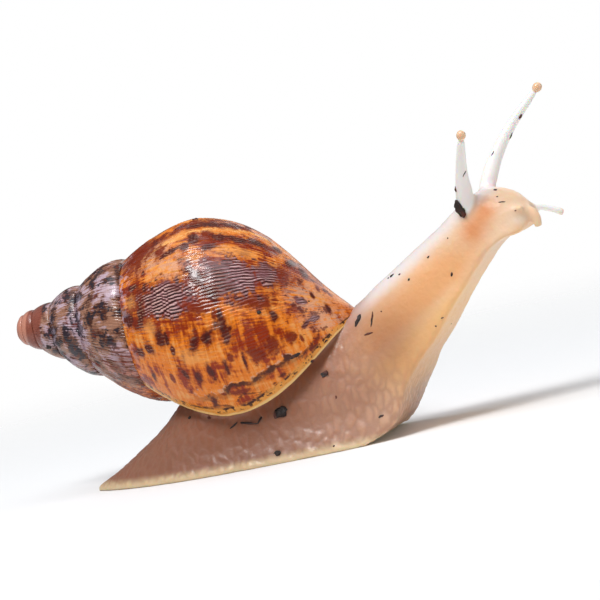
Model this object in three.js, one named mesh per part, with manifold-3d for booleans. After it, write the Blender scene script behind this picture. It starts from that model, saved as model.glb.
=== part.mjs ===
// A giant African land snail at life size, stretching its neck up from a flat sole.
// Millimetres. +X is the way the animal faces, +Y its left side, +Z up. The sole lies at z = 0.
import * as THREE from "three";
import { mergeVertices } from "three/addons/utils/BufferGeometryUtils.js";
import Module from "manifold-3d";

// ---------------------------------------------------------------- driving dimensions

// Gap between neighbouring solids, and the width of the thin cuts that part the flesh.
const GAP = 0.3;
const SHELL_CLEARANCE = 0.4; // between the flesh and the faceted shell

// The shell is one profile that turns round a straight axis and grows with every turn.
const WHORL_GROWTH = 1.577; // size ratio from one turn to the next
const SHELL_ORIGIN = new THREE.Vector3(-78.4, 3.9, 45.6); // where the coils would shrink to nothing
const SHELL_YAW = THREE.MathUtils.degToRad(1.7); // axis, from straight ahead towards the left
const SHELL_PITCH = THREE.MathUtils.degToRad(-8.55); // axis, sloping down towards the head
const LIP_ANGLE = THREE.MathUtils.degToRad(-47.4); // where the outer lip leaves the suture
const WIDEST_RADIUS = 30.95; // of the last whorl, at its periphery
const WIDEST_ALONG = 66.6; // distance of that periphery along the axis
const SHOULDER_LENGTH = 46.1; // from the periphery back to where the shoulder would meet the axis
const SHOULDER_POWER = 1.61;
const BASE_LENGTH = 41.9; // from the periphery forward to the bottom of the base
const BASE_POWER = 2.185;
const SUTURE_ALONG = 41.893; // where each whorl meets the one before it
const BASE_ALONG = WIDEST_ALONG + 0.9 * BASE_LENGTH; // where the lip's foot ends it
const LIP_SLANT = 0.134; // turns by which the foot of the lip trails its top
const LIP_SLANT_POWER = 3.38;
const APEX_ALONG = 5.3; // tip of the smooth first whorls
const STEP_PUSH = 4; // a grown shell's winding base moves this much further forward than its walls
const STEPS_PER_TURN = 28;
const SPIRE_STEPS = 90; // steps of the spiral before the last whorl begins
const SPIRE_ROWS = 5; // facets from suture to suture
const BASE_ROWS = 12; // facets from there down to the end of the columella
const APEX_RINGS = 3;

// The mantle collar fills the mouth of the shell.
const LIP_WALL = 0.9;
const COLLAR_SUNK = 2.0; // how far it reaches into the shell
const COLLAR_PROUD = 2.4; // how far it bulges out
const COLLAR_FROM = 0.06; // it starts and ends at these shares of the mouth's length
const COLLAR_TO = 0.965;
const COLLAR_ROUNDNESS = 0.7; // 1 gives its section the round ends of an ellipse, less squarer ones
const COLLAR_STEPS = 18;
const COLLAR_SIDES = 6;

// The trunk from tail to mouth. Each station gives the middle of the sole and of the back as [x, z],
// half the width of the sole, and how far the back leans to the left.
const STATIONS = [
  { sole: [-61, 0], back: [-61, 0.9], half: 1.2, lean: 0 }, // tip of the tail
  { sole: [-53, 0], back: [-52, 5.0], half: 6.6, lean: 0 },
  { sole: [-40, 0], back: [-39, 13.0], half: 12.0, lean: 0.5 },
  { sole: [-27, 0], back: [-27, 23.0], half: 14.8, lean: 1.5 }, // under the spire
  { sole: [-12, 0], back: [-12, 31.0], half: 15.6, lean: 3.0 },
  { sole: [4, 0], back: [1, 33.5], half: 15.4, lean: 3.6 }, // under the last whorl
  { sole: [16, 0], back: [10.5, 32.0], half: 14.4, lean: 2.0 },
  { sole: [25.4, 4.2], back: [18.5, 33.6], half: 12.6, lean: 0.6 }, // where the foot leaves the floor
  { sole: [30.4, 14.0], back: [26, 38.0], half: 10.8, lean: 0 },
  { sole: [39.4, 24.2], back: [34.5, 42.9], half: 9.3, lean: 0 }, // middle of the neck
  { sole: [49.0, 33.0], back: [43.5, 47.9], half: 8.2, lean: -0.2 },
  { sole: [56.4, 40.2], back: [51.6, 53.0], half: 7.5, lean: -0.6 }, // back of the head
  { sole: [61.2, 42.8], back: [58.4, 55.3], half: 7.3, lean: -1.2 },
  { sole: [65.0, 43.3], back: [64.4, 53.2], half: 6.3, lean: -1.6 }, // brow
  { sole: [67.2, 44.6], back: [68.4, 49.0], half: 3.8, lean: -1.8 }, // snout
];
const RINGS_PER_STATION = 4;
const RING_SIDES = 16;
const SIDE_FULLNESS = 0.9; // below 1 the flanks stand steeper than an ellipse
const RIM_FLARE = 0.18; // widening of the foot's rim, as a share of its half width
const RIM_HEIGHT = 2.2;

// Eye stalks, feelers and mouth lobes: route from root to tip, and the radius along it.
const EYE_RADIUS = 1.12;
const EYE_LENGTHENING = 1.12;
const EYE_SEAT = 0.6; // the eye's middle stands this many radii past the end of its stalk
const STALK_SIDES = 8;
const STALK_RINGS = 10;
const LIMBS = {
  eye_stalk_right: {
    route: [[52.6, -4.4, 51.0], [53.4, -5.6, 54.4], [54.3, -8.0, 58.4], [55.6, -10.4, 62.7], [58.1, -14.3, 69.2]],
    radii: [2.3, 2.0, 1.35, 1.0, 0.66],
  },
  eye_stalk_left: {
    route: [[55.6, 1.6, 50.4], [56.9, 3.0, 54.4], [60.0, 5.4, 61.3], [65.2, 7.6, 68.4], [73.0, 10.3, 76.0]],
    radii: [2.2, 1.9, 1.4, 1.05, 0.7],
  },
  feeler_right: {
    route: [[63.4, -5.4, 48.6], [65.0, -6.2, 49.0], [66.2, -6.8, 49.0], [67.3, -7.2, 48.8]],
    radii: [1.4, 1.2, 1.05, 0.8],
  },
  feeler_left: {
    route: [[64.2, -0.4, 48.8], [67.4, 0.9, 48.6], [70.2, 2.7, 47.5], [72.5, 4.2, 46.2], [73.9, 5.2, 45.2]],
    radii: [1.4, 1.05, 0.78, 0.62, 0.78],
  },
  mouth_lobe_right: {
    route: [[66.0, -3.6, 47.9], [67.8, -4.1, 48.2], [69.0, -4.7, 46.7], [69.6, -5.0, 45.0], [69.7, -5.2, 43.8]],
    radii: [1.2, 1.2, 1.3, 1.15, 0.75],
  },
  mouth_lobe_left: {
    route: [[63.8, 0.0, 47.0], [66.0, 0.9, 47.3], [67.3, 1.4, 46.2], [67.8, 1.6, 44.8], [67.8, 1.7, 43.8]],
    radii: [1.2, 1.2, 1.3, 1.15, 0.75],
  },
};

// Planes of the thin cuts: a point [x, z] on each, and the direction [x, z] it faces.
const CUTS = {
  tail: { point: [-37, 0], facing: [1, 0] },
  neck: { point: [20, 12], facing: [0.93, 0.37] },
  head: { point: [52, 46], facing: [0.86, 0.51] },
};
const CUT_SPAN = 120;

const COLOURS = {
  shell: 0xa8622a,
  collar: 0xe9c9a0,
  flesh: 0xecd2b4,
  foot: 0xe3c3a6,
  stalk: 0xf0e2d0,
  eye: 0xe8a878,
};

// ---------------------------------------------------------------- joining and cutting

const wasm = await Module();
wasm.setup();

// A closed solid from a list of points and a list of triangles that index it.
function solidFrom(points, triangles) {
  const vertProperties = new Float32Array(points.flatMap((p) => p.toArray()));
  const triVerts = new Uint32Array(triangles.flat());
  return new wasm.Manifold(new wasm.Mesh({ numProp: 3, vertProperties, triVerts }));
}

// The same from one of three.js's own closed shapes.
function solidOf(geometry) {
  geometry.deleteAttribute("normal");
  geometry.deleteAttribute("uv");
  const merged = mergeVertices(geometry);
  const vertProperties = new Float32Array(merged.attributes.position.array);
  const triVerts = new Uint32Array(merged.index.array);
  return new wasm.Manifold(new wasm.Mesh({ numProp: 3, vertProperties, triVerts }));
}

// Where a cut leaves loose crumbs, the largest body is the part.
function largest(solid) {
  const bodies = solid.decompose();
  return bodies.reduce((best, body) => (body.volume() > best.volume() ? body : best));
}

// A skin drawn over a row of rings with equally many points, closed by a fan at either end.
function loft(rings) {
  const sides = rings[0].length;
  const points = rings.flat();
  const triangles = [];
  for (let r = 0; r < rings.length - 1; r++) {
    for (let s = 0; s < sides; s++) {
      const here = r * sides + s;
      const next = r * sides + ((s + 1) % sides);
      triangles.push([here, next, next + sides]);
      triangles.push([here, next + sides, here + sides]);
    }
  }
  const middleOf = (ring) => {
    const sum = ring.reduce((total, p) => total.add(p), new THREE.Vector3());
    return sum.divideScalar(ring.length);
  };
  const first = points.push(middleOf(rings[0])) - 1;
  const last = points.push(middleOf(rings[rings.length - 1])) - 1;
  const lastRing = (rings.length - 1) * sides;
  for (let s = 0; s < sides; s++) {
    triangles.push([first, (s + 1) % sides, s]);
    triangles.push([last, lastRing + s, lastRing + ((s + 1) % sides)]);
  }
  return solidFrom(points, triangles);
}

// ---------------------------------------------------------------- shell

const SHELL_AXIS = new THREE.Vector3(
  Math.cos(SHELL_PITCH) * Math.cos(SHELL_YAW),
  Math.cos(SHELL_PITCH) * Math.sin(SHELL_YAW),
  Math.sin(SHELL_PITCH),
);
const SHELL_RIGHT = new THREE.Vector3().crossVectors(SHELL_AXIS, new THREE.Vector3(0, 0, 1)).normalize();
const SHELL_UP = new THREE.Vector3().crossVectors(SHELL_RIGHT, SHELL_AXIS);

// Radius of the whorl's outline at a distance along the axis, for a whorl of full size.
function outlineRadius(along) {
  const before = along < WIDEST_ALONG;
  const reach = Math.abs(along - WIDEST_ALONG) / (before ? SHOULDER_LENGTH : BASE_LENGTH);
  return WIDEST_RADIUS * (1 - reach ** (before ? SHOULDER_POWER : BASE_POWER));
}

// Slope of that outline, which gives the direction that a growing solid pushes it.
function outlineSlope(along) {
  const step = 0.01;
  return (outlineRadius(along + step) - outlineRadius(along - step)) / (2 * step);
}

// A point at a distance along the shell's axis and from it. The turn is 0 at the top of the lip.
function aroundAxis(turn, along, radius) {
  const angle = LIP_ANGLE - 2 * Math.PI * turn;
  return SHELL_ORIGIN.clone()
    .addScaledVector(SHELL_AXIS, along)
    .addScaledVector(SHELL_RIGHT, radius * Math.cos(angle))
    .addScaledVector(SHELL_UP, radius * Math.sin(angle));
}

// The way the mouth opens: down and to the left.
const MOUTH_FACING = aroundAxis(0.25, 0, 1).sub(SHELL_ORIGIN);

// A point of the shell's surface, pushed outwards by grow.
function shellPoint(turn, along, grow = 0) {
  const size = WHORL_GROWTH ** turn;
  const atSuture = along === SUTURE_ALONG;
  const slope = atSuture ? 0 : outlineSlope(along);
  const steep = Math.hypot(1, slope);
  const radius = size * outlineRadius(along) + grow / steep;
  const forward = along === BASE_ALONG ? STEP_PUSH * grow : (-grow * slope) / steep;
  return aroundAxis(turn, size * along + forward, radius);
}

// How far back the lip stands at a distance along the axis, in turns.
function lipTurn(along) {
  const down = (along - SUTURE_ALONG) / (BASE_ALONG - SUTURE_ALONG);
  return -LIP_SLANT * down ** LIP_SLANT_POWER;
}

// Distance along the axis of each row of facets, from suture to suture and on to the base.
function rowAlong(row) {
  const nextSuture = WHORL_GROWTH * SUTURE_ALONG;
  if (row <= SPIRE_ROWS) return THREE.MathUtils.lerp(SUTURE_ALONG, nextSuture, row / SPIRE_ROWS);
  const share = (row - SPIRE_ROWS) / BASE_ROWS;
  return THREE.MathUtils.lerp(nextSuture, BASE_ALONG, Math.sin((share * Math.PI) / 2));
}

// The whole shell as a filled body whose mouth is a ruled face from the lip to the whorl inside it.
function filledShell(grow) {
  const points = [];
  const triangles = [];
  const lastStep = SPIRE_STEPS + STEPS_PER_TURN;
  const lastRow = SPIRE_ROWS + BASE_ROWS;
  const ids = [];
  for (let step = 0; step <= lastStep; step++) {
    ids.push([]);
    const rows = step < SPIRE_STEPS ? SPIRE_ROWS - 1 : lastRow;
    for (let row = 0; row <= rows; row++) {
      const along = rowAlong(row);
      const share = (step - SPIRE_STEPS) / STEPS_PER_TURN;
      const turn = share <= 0 ? share - 1 : share * (1 + lipTurn(along)) - 1;
      const point = shellPoint(turn, along, grow);
      const onMouth = step === lastStep || (step === SPIRE_STEPS && row > SPIRE_ROWS);
      if (onMouth) point.addScaledVector(MOUTH_FACING, grow);
      ids[step][row] = points.push(point) - 1;
    }
  }
  // The lower edge of every spire whorl is the suture of the whorl that follows it.
  for (let step = 0; step <= SPIRE_STEPS; step++) ids[step][SPIRE_ROWS] = ids[step + STEPS_PER_TURN][0];

  const quad = (a, b, c, d) => triangles.push([a, c, b], [a, d, c]);
  for (let step = 0; step < lastStep; step++) {
    const rows = step < SPIRE_STEPS ? SPIRE_ROWS : lastRow;
    for (let row = 0; row < rows; row++) {
      quad(ids[step][row], ids[step][row + 1], ids[step + 1][row + 1], ids[step + 1][row]);
    }
  }

  // Apex: rings shrink from the first turn of the suture to the tip of the dome.
  const rim = [];
  for (let step = 0; step < STEPS_PER_TURN; step++) rim.push({ step, row: 0 });
  for (let row = SPIRE_ROWS; row > 0; row--) rim.push({ step: 0, row });
  let outer = rim.map(({ step, row }) => ids[step][row]);
  for (let ring = 1; ring < APEX_RINGS; ring++) {
    const tilt = ((Math.PI / 2) * (APEX_RINGS - ring)) / APEX_RINGS;
    const inner = rim.map(({ step, row }) => {
      const turn = (step - SPIRE_STEPS) / STEPS_PER_TURN - 1;
      const size = WHORL_GROWTH ** turn;
      const along = THREE.MathUtils.lerp(APEX_ALONG - grow, size * rowAlong(row), 1 - Math.cos(tilt));
      const radius = (size * outlineRadius(rowAlong(row)) + grow) * Math.sin(tilt);
      return points.push(aroundAxis(turn, along, radius)) - 1;
    });
    for (let i = 0; i < rim.length; i++) {
      const j = (i + 1) % rim.length;
      quad(outer[i], outer[j], inner[j], inner[i]);
    }
    outer = inner;
  }
  const apex = points.push(aroundAxis(0, APEX_ALONG - grow, 0)) - 1;
  for (let i = 0; i < rim.length; i++) triangles.push([outer[(i + 1) % rim.length], outer[i], apex]);

  // Base: a winding step joins the foot of the last whorl to the axis, as a columella does.
  const pillar = [];
  for (let step = SPIRE_STEPS; step <= lastStep; step++) {
    const share = (step - SPIRE_STEPS) / STEPS_PER_TURN;
    const turn = share * (1 - LIP_SLANT) - 1;
    const point = aroundAxis(turn, BASE_ALONG * WHORL_GROWTH ** turn + STEP_PUSH * grow, 0);
    pillar.push(points.push(point.addScaledVector(MOUTH_FACING, grow)) - 1);
  }
  const lipFoot = ids[lastStep][lastRow];
  for (let i = 0; i < STEPS_PER_TURN; i++) {
    const step = SPIRE_STEPS + i;
    quad(ids[step][lastRow], pillar[i], pillar[i + 1], ids[step + 1][lastRow]);
    triangles.push([lipFoot, pillar[i], pillar[i + 1]]);
  }
  triangles.push([lipFoot, ids[SPIRE_STEPS][lastRow], pillar[0]]);

  // Mouth: the lip has more rows than the whorl inside it, so the strip is zipped row by row.
  let lipRow = 0;
  let innerRow = SPIRE_ROWS;
  while (lipRow < lastRow || innerRow < lastRow) {
    const lipShare = (lipRow + 1) / lastRow;
    const innerShare = (innerRow + 1 - SPIRE_ROWS) / BASE_ROWS;
    const lip = ids[lastStep][lipRow];
    const inner = ids[SPIRE_STEPS][innerRow];
    if (innerRow === lastRow || (lipRow < lastRow && lipShare <= innerShare)) {
      if (lip !== inner) triangles.push([lip, inner, ids[lastStep][lipRow + 1]]);
      lipRow++;
    } else {
      triangles.push([ids[lastStep][lipRow], inner, ids[SPIRE_STEPS][innerRow + 1]]);
      innerRow++;
    }
  }
  return solidFrom(points, triangles);
}

// ---------------------------------------------------------------- mantle collar

// The plug of flesh in the mouth, from the suture to the foot of the columella.
function collarPlug(grow) {
  const squared = (v) => Math.sign(v) * Math.abs(v) ** COLLAR_ROUNDNESS;
  const rings = [];
  for (let step = 0; step <= COLLAR_STEPS; step++) {
    const share = THREE.MathUtils.lerp(COLLAR_FROM, COLLAR_TO, step / COLLAR_STEPS);
    const lipAlong = THREE.MathUtils.lerp(SUTURE_ALONG, BASE_ALONG, share);
    const innerAlong = THREE.MathUtils.lerp(WHORL_GROWTH * SUTURE_ALONG, BASE_ALONG, share);
    const lip = shellPoint(lipTurn(lipAlong), lipAlong);
    const inner = shellPoint(-1, innerAlong);
    const reach = lip.distanceTo(inner) / 2 - LIP_WALL + grow;
    const sideways = lip.clone().sub(inner).normalize();
    const swell = Math.sqrt(Math.sin(Math.PI * share));
    const ring = [];
    for (let side = 0; side < COLLAR_SIDES * 2; side++) {
      const angle = (Math.PI * (side + 0.5)) / COLLAR_SIDES;
      const depth = angle < Math.PI ? COLLAR_PROUD : COLLAR_SUNK;
      const point = lip.clone().lerp(inner, 0.5);
      point.addScaledVector(sideways, reach * squared(Math.cos(angle)));
      point.addScaledVector(MOUTH_FACING, (depth * swell + grow) * squared(Math.sin(angle)));
      ring.push(point);
    }
    rings.push(ring);
  }
  return loft(rings);
}

// ---------------------------------------------------------------- trunk

function trunkSolid() {
  const through = (values) => new THREE.CatmullRomCurve3(values, false, "catmullrom", 0.5);
  const sole = through(STATIONS.map((s) => new THREE.Vector3(s.sole[0], 0, s.sole[1])));
  const back = through(STATIONS.map((s) => new THREE.Vector3(s.back[0], s.lean, s.back[1])));
  const width = through(STATIONS.map((s) => new THREE.Vector3(s.half, s.lean, 0)));
  const rings = [];
  const last = (STATIONS.length - 1) * RINGS_PER_STATION;
  for (let i = 0; i <= last; i++) {
    const low = sole.getPoint(i / last);
    low.z = Math.max(0, low.z);
    const rise = back.getPoint(i / last).sub(low);
    const { x: half, y: lean } = width.getPoint(i / last);
    const soleLean = Math.min(0, lean); // only the head is turned, so only there the sole moves too
    const ring = [];
    for (let side = 0; side <= RING_SIDES; side++) {
      const angle = (Math.PI * side) / RING_SIDES;
      const height = Math.max(0, Math.sin(angle)) ** SIDE_FULLNESS;
      const flare = RIM_FLARE * half * Math.exp((-height * rise.length()) / RIM_HEIGHT);
      const out = half * Math.cos(angle) + flare * Math.sign(Math.cos(angle));
      const point = low.clone().addScaledVector(rise, height);
      point.y += out + soleLean * (1 - height);
      if (side === 0 || side === RING_SIDES) point.z = low.z;
      ring.push(point);
    }
    rings.push(ring);
  }
  return loft(rings);
}

// ---------------------------------------------------------------- stalks, feelers and lobes

function limbSolid({ route, radii }, grow = 0) {
  const curve = new THREE.CatmullRomCurve3(route.map((p) => new THREE.Vector3(...p)));
  const thickness = new THREE.CatmullRomCurve3(radii.map((r, i) => new THREE.Vector3(i, r, 0)));
  const frames = curve.computeFrenetFrames(STALK_RINGS, false);
  const rings = [];
  for (let i = 0; i <= STALK_RINGS; i++) {
    const centre = curve.getPointAt(i / STALK_RINGS);
    if (i === 0) centre.addScaledVector(frames.tangents[0], -grow);
    if (i === STALK_RINGS) centre.addScaledVector(frames.tangents[i], grow);
    const radius = thickness.getPointAt(i / STALK_RINGS).y + grow;
    const ring = [];
    for (let side = 0; side < STALK_SIDES; side++) {
      const angle = (2 * Math.PI * side) / STALK_SIDES;
      const point = centre.clone();
      point.addScaledVector(frames.normals[i], radius * Math.cos(angle));
      point.addScaledVector(frames.binormals[i], radius * Math.sin(angle));
      ring.push(point);
    }
    rings.push(ring);
  }
  return loft(rings);
}

// The swollen tip that carries the eye, drawn out a little along its stalk.
function eyeSolid({ route }, grow = 0) {
  const tip = new THREE.Vector3(...route[route.length - 1]);
  const along = tip.clone().sub(new THREE.Vector3(...route[route.length - 2])).normalize();
  const shape = new THREE.SphereGeometry(EYE_RADIUS + grow, 14, 10);
  shape.rotateX(Math.PI / 2);
  shape.scale(1, 1, EYE_LENGTHENING);
  shape.applyQuaternion(new THREE.Quaternion().setFromUnitVectors(new THREE.Vector3(0, 0, 1), along));
  const centre = tip.addScaledVector(along, EYE_RADIUS * EYE_SEAT);
  shape.translate(centre.x, centre.y, centre.z);
  return solidOf(shape);
}

// ---------------------------------------------------------------- parting the flesh

function cutSlab({ point, facing }) {
  const shape = new THREE.BoxGeometry(GAP, CUT_SPAN, CUT_SPAN);
  shape.rotateY(-Math.atan2(facing[1], facing[0]));
  shape.translate(point[0], 0, point[1]);
  return solidOf(shape);
}

const solids = {};
solids.shell = largest(filledShell(0).subtract(collarPlug(GAP)));
solids.mantle_collar = collarPlug(0);

let flesh = largest(trunkSolid().subtract(filledShell(SHELL_CLEARANCE)).subtract(collarPlug(GAP)));
for (const cut of Object.values(CUTS)) flesh = flesh.subtract(cutSlab(cut));
const lengthNames = ["tail", "foot", "neck", "head"];
const bodies = flesh.decompose().sort((a, b) => b.volume() - a.volume());
const lengths = bodies.slice(0, lengthNames.length);
lengths.sort((a, b) => a.boundingBox().min[0] - b.boundingBox().min[0]);
lengthNames.forEach((name, i) => {
  solids[name] = lengths[i];
});

// Each limb stands in a socket of its own in the head, and each later limb clears the earlier ones.
const limbsSoFar = [];
for (const [name, limb] of Object.entries(LIMBS)) {
  let solid = limbSolid(limb);
  for (const other of limbsSoFar) solid = solid.subtract(limbSolid(other, GAP));
  for (const base of ["head", "neck"]) solids[base] = largest(solids[base].subtract(limbSolid(limb, GAP)));
  if (name.startsWith("eye_stalk")) {
    solid = solid.subtract(eyeSolid(limb, GAP));
    solids[name.replace("stalk_", "")] = eyeSolid(limb);
  }
  solids[name] = largest(solid);
  limbsSoFar.push(limb);
}

// ---------------------------------------------------------------- scene graph

const FINISHES = {
  shell: { color: COLOURS.shell, roughness: 0.35 },
  mantle_collar: { color: COLOURS.collar, roughness: 0.4 },
  tail: { color: COLOURS.foot, roughness: 0.5 },
  foot: { color: COLOURS.foot, roughness: 0.5 },
  neck: { color: COLOURS.flesh, roughness: 0.45 },
  head: { color: COLOURS.flesh, roughness: 0.45 },
  eye_right: { color: COLOURS.eye, roughness: 0.25 },
  eye_left: { color: COLOURS.eye, roughness: 0.25 },
};
const LIMB_FINISH = { color: COLOURS.stalk, roughness: 0.4 };

const snail = new THREE.Group();
for (const [name, solid] of Object.entries(solids)) {
  const { numProp, vertProperties, triVerts } = solid.getMesh();
  const geometry = new THREE.BufferGeometry();
  const places = new THREE.InterleavedBuffer(vertProperties, numProp);
  geometry.setAttribute("position", new THREE.InterleavedBufferAttribute(places, 3, 0));
  geometry.setIndex(new THREE.BufferAttribute(triVerts, 1));
  geometry.computeVertexNormals();
  const material = new THREE.MeshStandardMaterial({ ...(FINISHES[name] ?? LIMB_FINISH), metalness: 0 });
  const mesh = new THREE.Mesh(geometry, material);
  mesh.name = name;
  snail.add(mesh);
}

export default snail;
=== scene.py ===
# %% [markdown]
# # A giant African land snail at life size
#
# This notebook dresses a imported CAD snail. The shell is grown by a rule, the flesh is one soft skin
# over all its solids, and the two eye bulbs and a pinch of soil are small pieces of their own. The CAD
# model is loaded first, because it says where everything is. All lengths are in metres.

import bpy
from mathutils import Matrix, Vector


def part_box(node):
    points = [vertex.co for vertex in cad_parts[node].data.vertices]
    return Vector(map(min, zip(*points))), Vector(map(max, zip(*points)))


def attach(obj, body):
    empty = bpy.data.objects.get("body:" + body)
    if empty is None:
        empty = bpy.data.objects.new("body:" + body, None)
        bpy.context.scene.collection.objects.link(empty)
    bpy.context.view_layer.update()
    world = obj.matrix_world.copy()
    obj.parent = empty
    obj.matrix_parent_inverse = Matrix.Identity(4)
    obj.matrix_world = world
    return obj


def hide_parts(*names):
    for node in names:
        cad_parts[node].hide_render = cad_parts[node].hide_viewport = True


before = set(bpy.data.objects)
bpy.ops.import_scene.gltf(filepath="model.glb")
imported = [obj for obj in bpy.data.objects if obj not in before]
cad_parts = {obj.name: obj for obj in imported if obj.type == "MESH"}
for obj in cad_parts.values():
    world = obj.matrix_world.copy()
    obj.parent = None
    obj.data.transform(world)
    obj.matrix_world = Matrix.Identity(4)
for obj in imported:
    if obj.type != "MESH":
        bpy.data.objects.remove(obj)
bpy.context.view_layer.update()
print("CAD nodes:", sorted(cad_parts))

# %% Bring in the tools
import math

import bmesh
import bpy
import numpy as np
from mathutils import Matrix, Vector
from mathutils.bvhtree import BVHTree
from mathutils.kdtree import KDTree

MM = 0.001
PICTURE_WIDTH = 600
scene = bpy.context.scene
print("Blender", bpy.app.version_string)

# %% [markdown]
# ## Sums that turn into nodes
#
# Both the shell's shape and every finish are sums over a surface. Wiring such sums by hand takes many
# lines, so one small class wraps the output of a node. A plus or a times written with it adds a Math
# node to the same tree, and `node` adds any other kind.


# %% Wrap a node's output
def pick(sockets, key):
    """A socket by its number, its identifier or its name."""
    if isinstance(key, int):
        return sockets[key]
    return next((s for s in sockets if s.identifier == key), None) or sockets[key]


class Wire:
    """The output of a node, with which sums can be written."""

    def __init__(self, tree, socket=None):
        self.tree = tree
        self.socket = socket

    def node(self, kind, settings=None, sockets=None, output=0):
        """Adds a node: first its settings, then the values or links of its sockets."""
        made = self.tree.nodes.new(kind)
        for name, value in (settings or {}).items():
            setattr(made, name, value)
        for key, value in (sockets or {}).items():
            if isinstance(value, Wire):
                self.tree.links.new(value.socket, pick(made.inputs, key))
            else:
                pick(made.inputs, key).default_value = value
        return Wire(self.tree, pick(made.outputs, output) if len(made.outputs) else None)

    def other(self, output):
        """Another output of the same node."""
        return Wire(self.tree, pick(self.socket.node.outputs, output))

    def math(self, operation, *values):
        """A Math node on these values, of which this may be one."""
        return self.node("ShaderNodeMath", {"operation": operation}, dict(enumerate(values)))

    def vector(self, operation, *values, output=0):
        """A Vector Math node on these values."""
        return self.node("ShaderNodeVectorMath", {"operation": operation}, dict(enumerate(values)), output)

    def __add__(self, other):
        return self.math("ADD", self, other)

    def __sub__(self, other):
        return self.math("SUBTRACT", self, other)

    def __rsub__(self, other):
        return self.math("SUBTRACT", other, self)

    def __mul__(self, other):
        return self.math("MULTIPLY", self, other)

    def __truediv__(self, other):
        return self.math("DIVIDE", self, other)

    def __rtruediv__(self, other):
        return self.math("DIVIDE", other, self)

    def __pow__(self, other):
        return self.math("POWER", self, other)

    __radd__ = __add__
    __rmul__ = __mul__

    def ramp(self, low, high, start=0.0, end=1.0):
        """Goes smoothly from start to end while this goes from low to high."""
        values = {"Value": self, 1: low, 2: high, 3: start, 4: end}
        return self.node("ShaderNodeMapRange", {"interpolation_type": "SMOOTHSTEP"}, values)

    def fall(self, low, high):
        """Goes smoothly from 1 to 0 while this goes from low to high."""
        return self.ramp(low, high, 1.0, 0.0)

    def least(self, other):
        return self.math("MINIMUM", self, other)

    def most(self, other):
        return self.math("MAXIMUM", self, other)

    def scaled(self, size):
        """This vector, times a number."""
        return self.node("ShaderNodeVectorMath", {"operation": "SCALE"}, {0: self, "Scale": size})

    def plus(self, other):
        """The sum of two vectors."""
        return self.vector("ADD", self, other)

    def tinted(self, colour, share):
        """This colour, with another laid over it by a share from 0 to 1."""
        values = {"Factor_Float": share, "A_Color": self, "B_Color": colour}
        return self.node("ShaderNodeMix", {"data_type": "RGBA"}, values, "Result_Color")


print("Wire is ready")


# %% Make node trees with it
def geometry_tree(name, inputs):
    """An empty Geometry Nodes tree with named inputs, and a wire from each of them."""
    tree = bpy.data.node_groups.new(name, "GeometryNodeTree")
    tree.is_modifier = True
    kinds = {int: "NodeSocketInt", float: "NodeSocketFloat", tuple: "NodeSocketVector"}
    tree.interface.new_socket("Geometry", in_out="INPUT", socket_type="NodeSocketGeometry")
    tree.interface.new_socket("Geometry", in_out="OUTPUT", socket_type="NodeSocketGeometry")
    for label, value in inputs.items():
        kind = kinds.get(type(value), "NodeSocketMaterial")
        socket = tree.interface.new_socket(label, in_out="INPUT", socket_type=kind)
        socket.default_value = value
    entry = Wire(tree).node("NodeGroupInput")
    return tree, {label: entry.other(label) for label in ["Geometry", *inputs]}


def finish_tree(tree, geometry, material):
    """Ends a tree: real faces, smooth shading and a material."""
    real = geometry.node("GeometryNodeRealizeInstances", sockets={"Geometry": geometry})
    smooth = real.node("GeometryNodeSetShadeSmooth", sockets={"Geometry": real})
    dressed = smooth.node("GeometryNodeSetMaterial", sockets={"Geometry": smooth, "Material": material})
    dressed.node("NodeGroupOutput", sockets={"Geometry": dressed})


def placed(name, data):
    """An object of the scene, from its mesh, lamp or lens."""
    made = bpy.data.objects.new(name, data)
    scene.collection.objects.link(made)
    return made


def mesh_from(name, shape):
    """A mesh of a bmesh, which is then let go."""
    mesh = bpy.data.meshes.new(name)
    shape.to_mesh(mesh)
    shape.free()
    return mesh


def grown(name, tree, values, mesh=None):
    """A plain mesh object that the tree has made, by the name of each input."""
    piece = placed(name, mesh or bpy.data.meshes.new(name))
    modifier = piece.modifiers.new("grown by nodes", "NODES")
    modifier.node_group = tree
    for item in tree.interface.items_tree:
        if item.in_out == "INPUT" and item.name in values:
            modifier[item.identifier] = values[item.name]
    return made_plain(piece)


def made_plain(piece):
    """Applies all modifiers of a piece."""
    seen = bpy.context.evaluated_depsgraph_get()
    shape = piece.evaluated_get(seen)
    plain = bpy.data.meshes.new_from_object(shape, preserve_all_data_layers=True, depsgraph=seen)
    piece.modifiers.clear()
    piece.data = plain
    plain.name = piece.name
    return piece


def measure(piece):
    """Prints how large a piece is."""
    co = points_of(piece.data) / MM
    low, high = co.min(0).round(1), co.max(0).round(1)
    piece.data.calc_loop_triangles()
    print(f"{piece.name}: {len(piece.data.loop_triangles)} triangles, {low} to {high} mm")


def points_of(mesh):
    """The vertices of a mesh as rows of x, y and z."""
    co = np.empty(len(mesh.vertices) * 3, np.float32)
    mesh.vertices.foreach_get("co", co)
    return co.reshape(-1, 3)


def move_points(mesh, co):
    """Puts the vertices of a mesh at new places."""
    mesh.vertices.foreach_set("co", co.astype(np.float32).ravel())
    mesh.update()


def store(mesh, name, values):
    """Keeps one number for each vertex, for a finish to read."""
    layer = mesh.attributes.new(name, "FLOAT", "POINT")
    layer.data.foreach_set("value", values.astype(np.float32))


print("Tree helpers are ready")

# %% [markdown]
# ## Camera, floor and light
#
# The animal reaches up from the floor, and the camera is turned about its line of sight so that the
# foot slopes up to the right. A long lens keeps it from looking like a toy. The floor is a pale disc
# that fades out, so that no horizon cuts across the picture.

# %% Place the camera
AIM = Vector((0, 12.5, 36.7)) * MM
CAMERA_DISTANCE = 853 * MM
CAMERA_AZIMUTH = math.radians(18)
CAMERA_HEIGHT = math.radians(4)
CAMERA_ROLL = math.radians(13.2)
PIXEL = 0.256 * MM  # size of a pixel at the distance of the aim
SENSOR = 36

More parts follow.
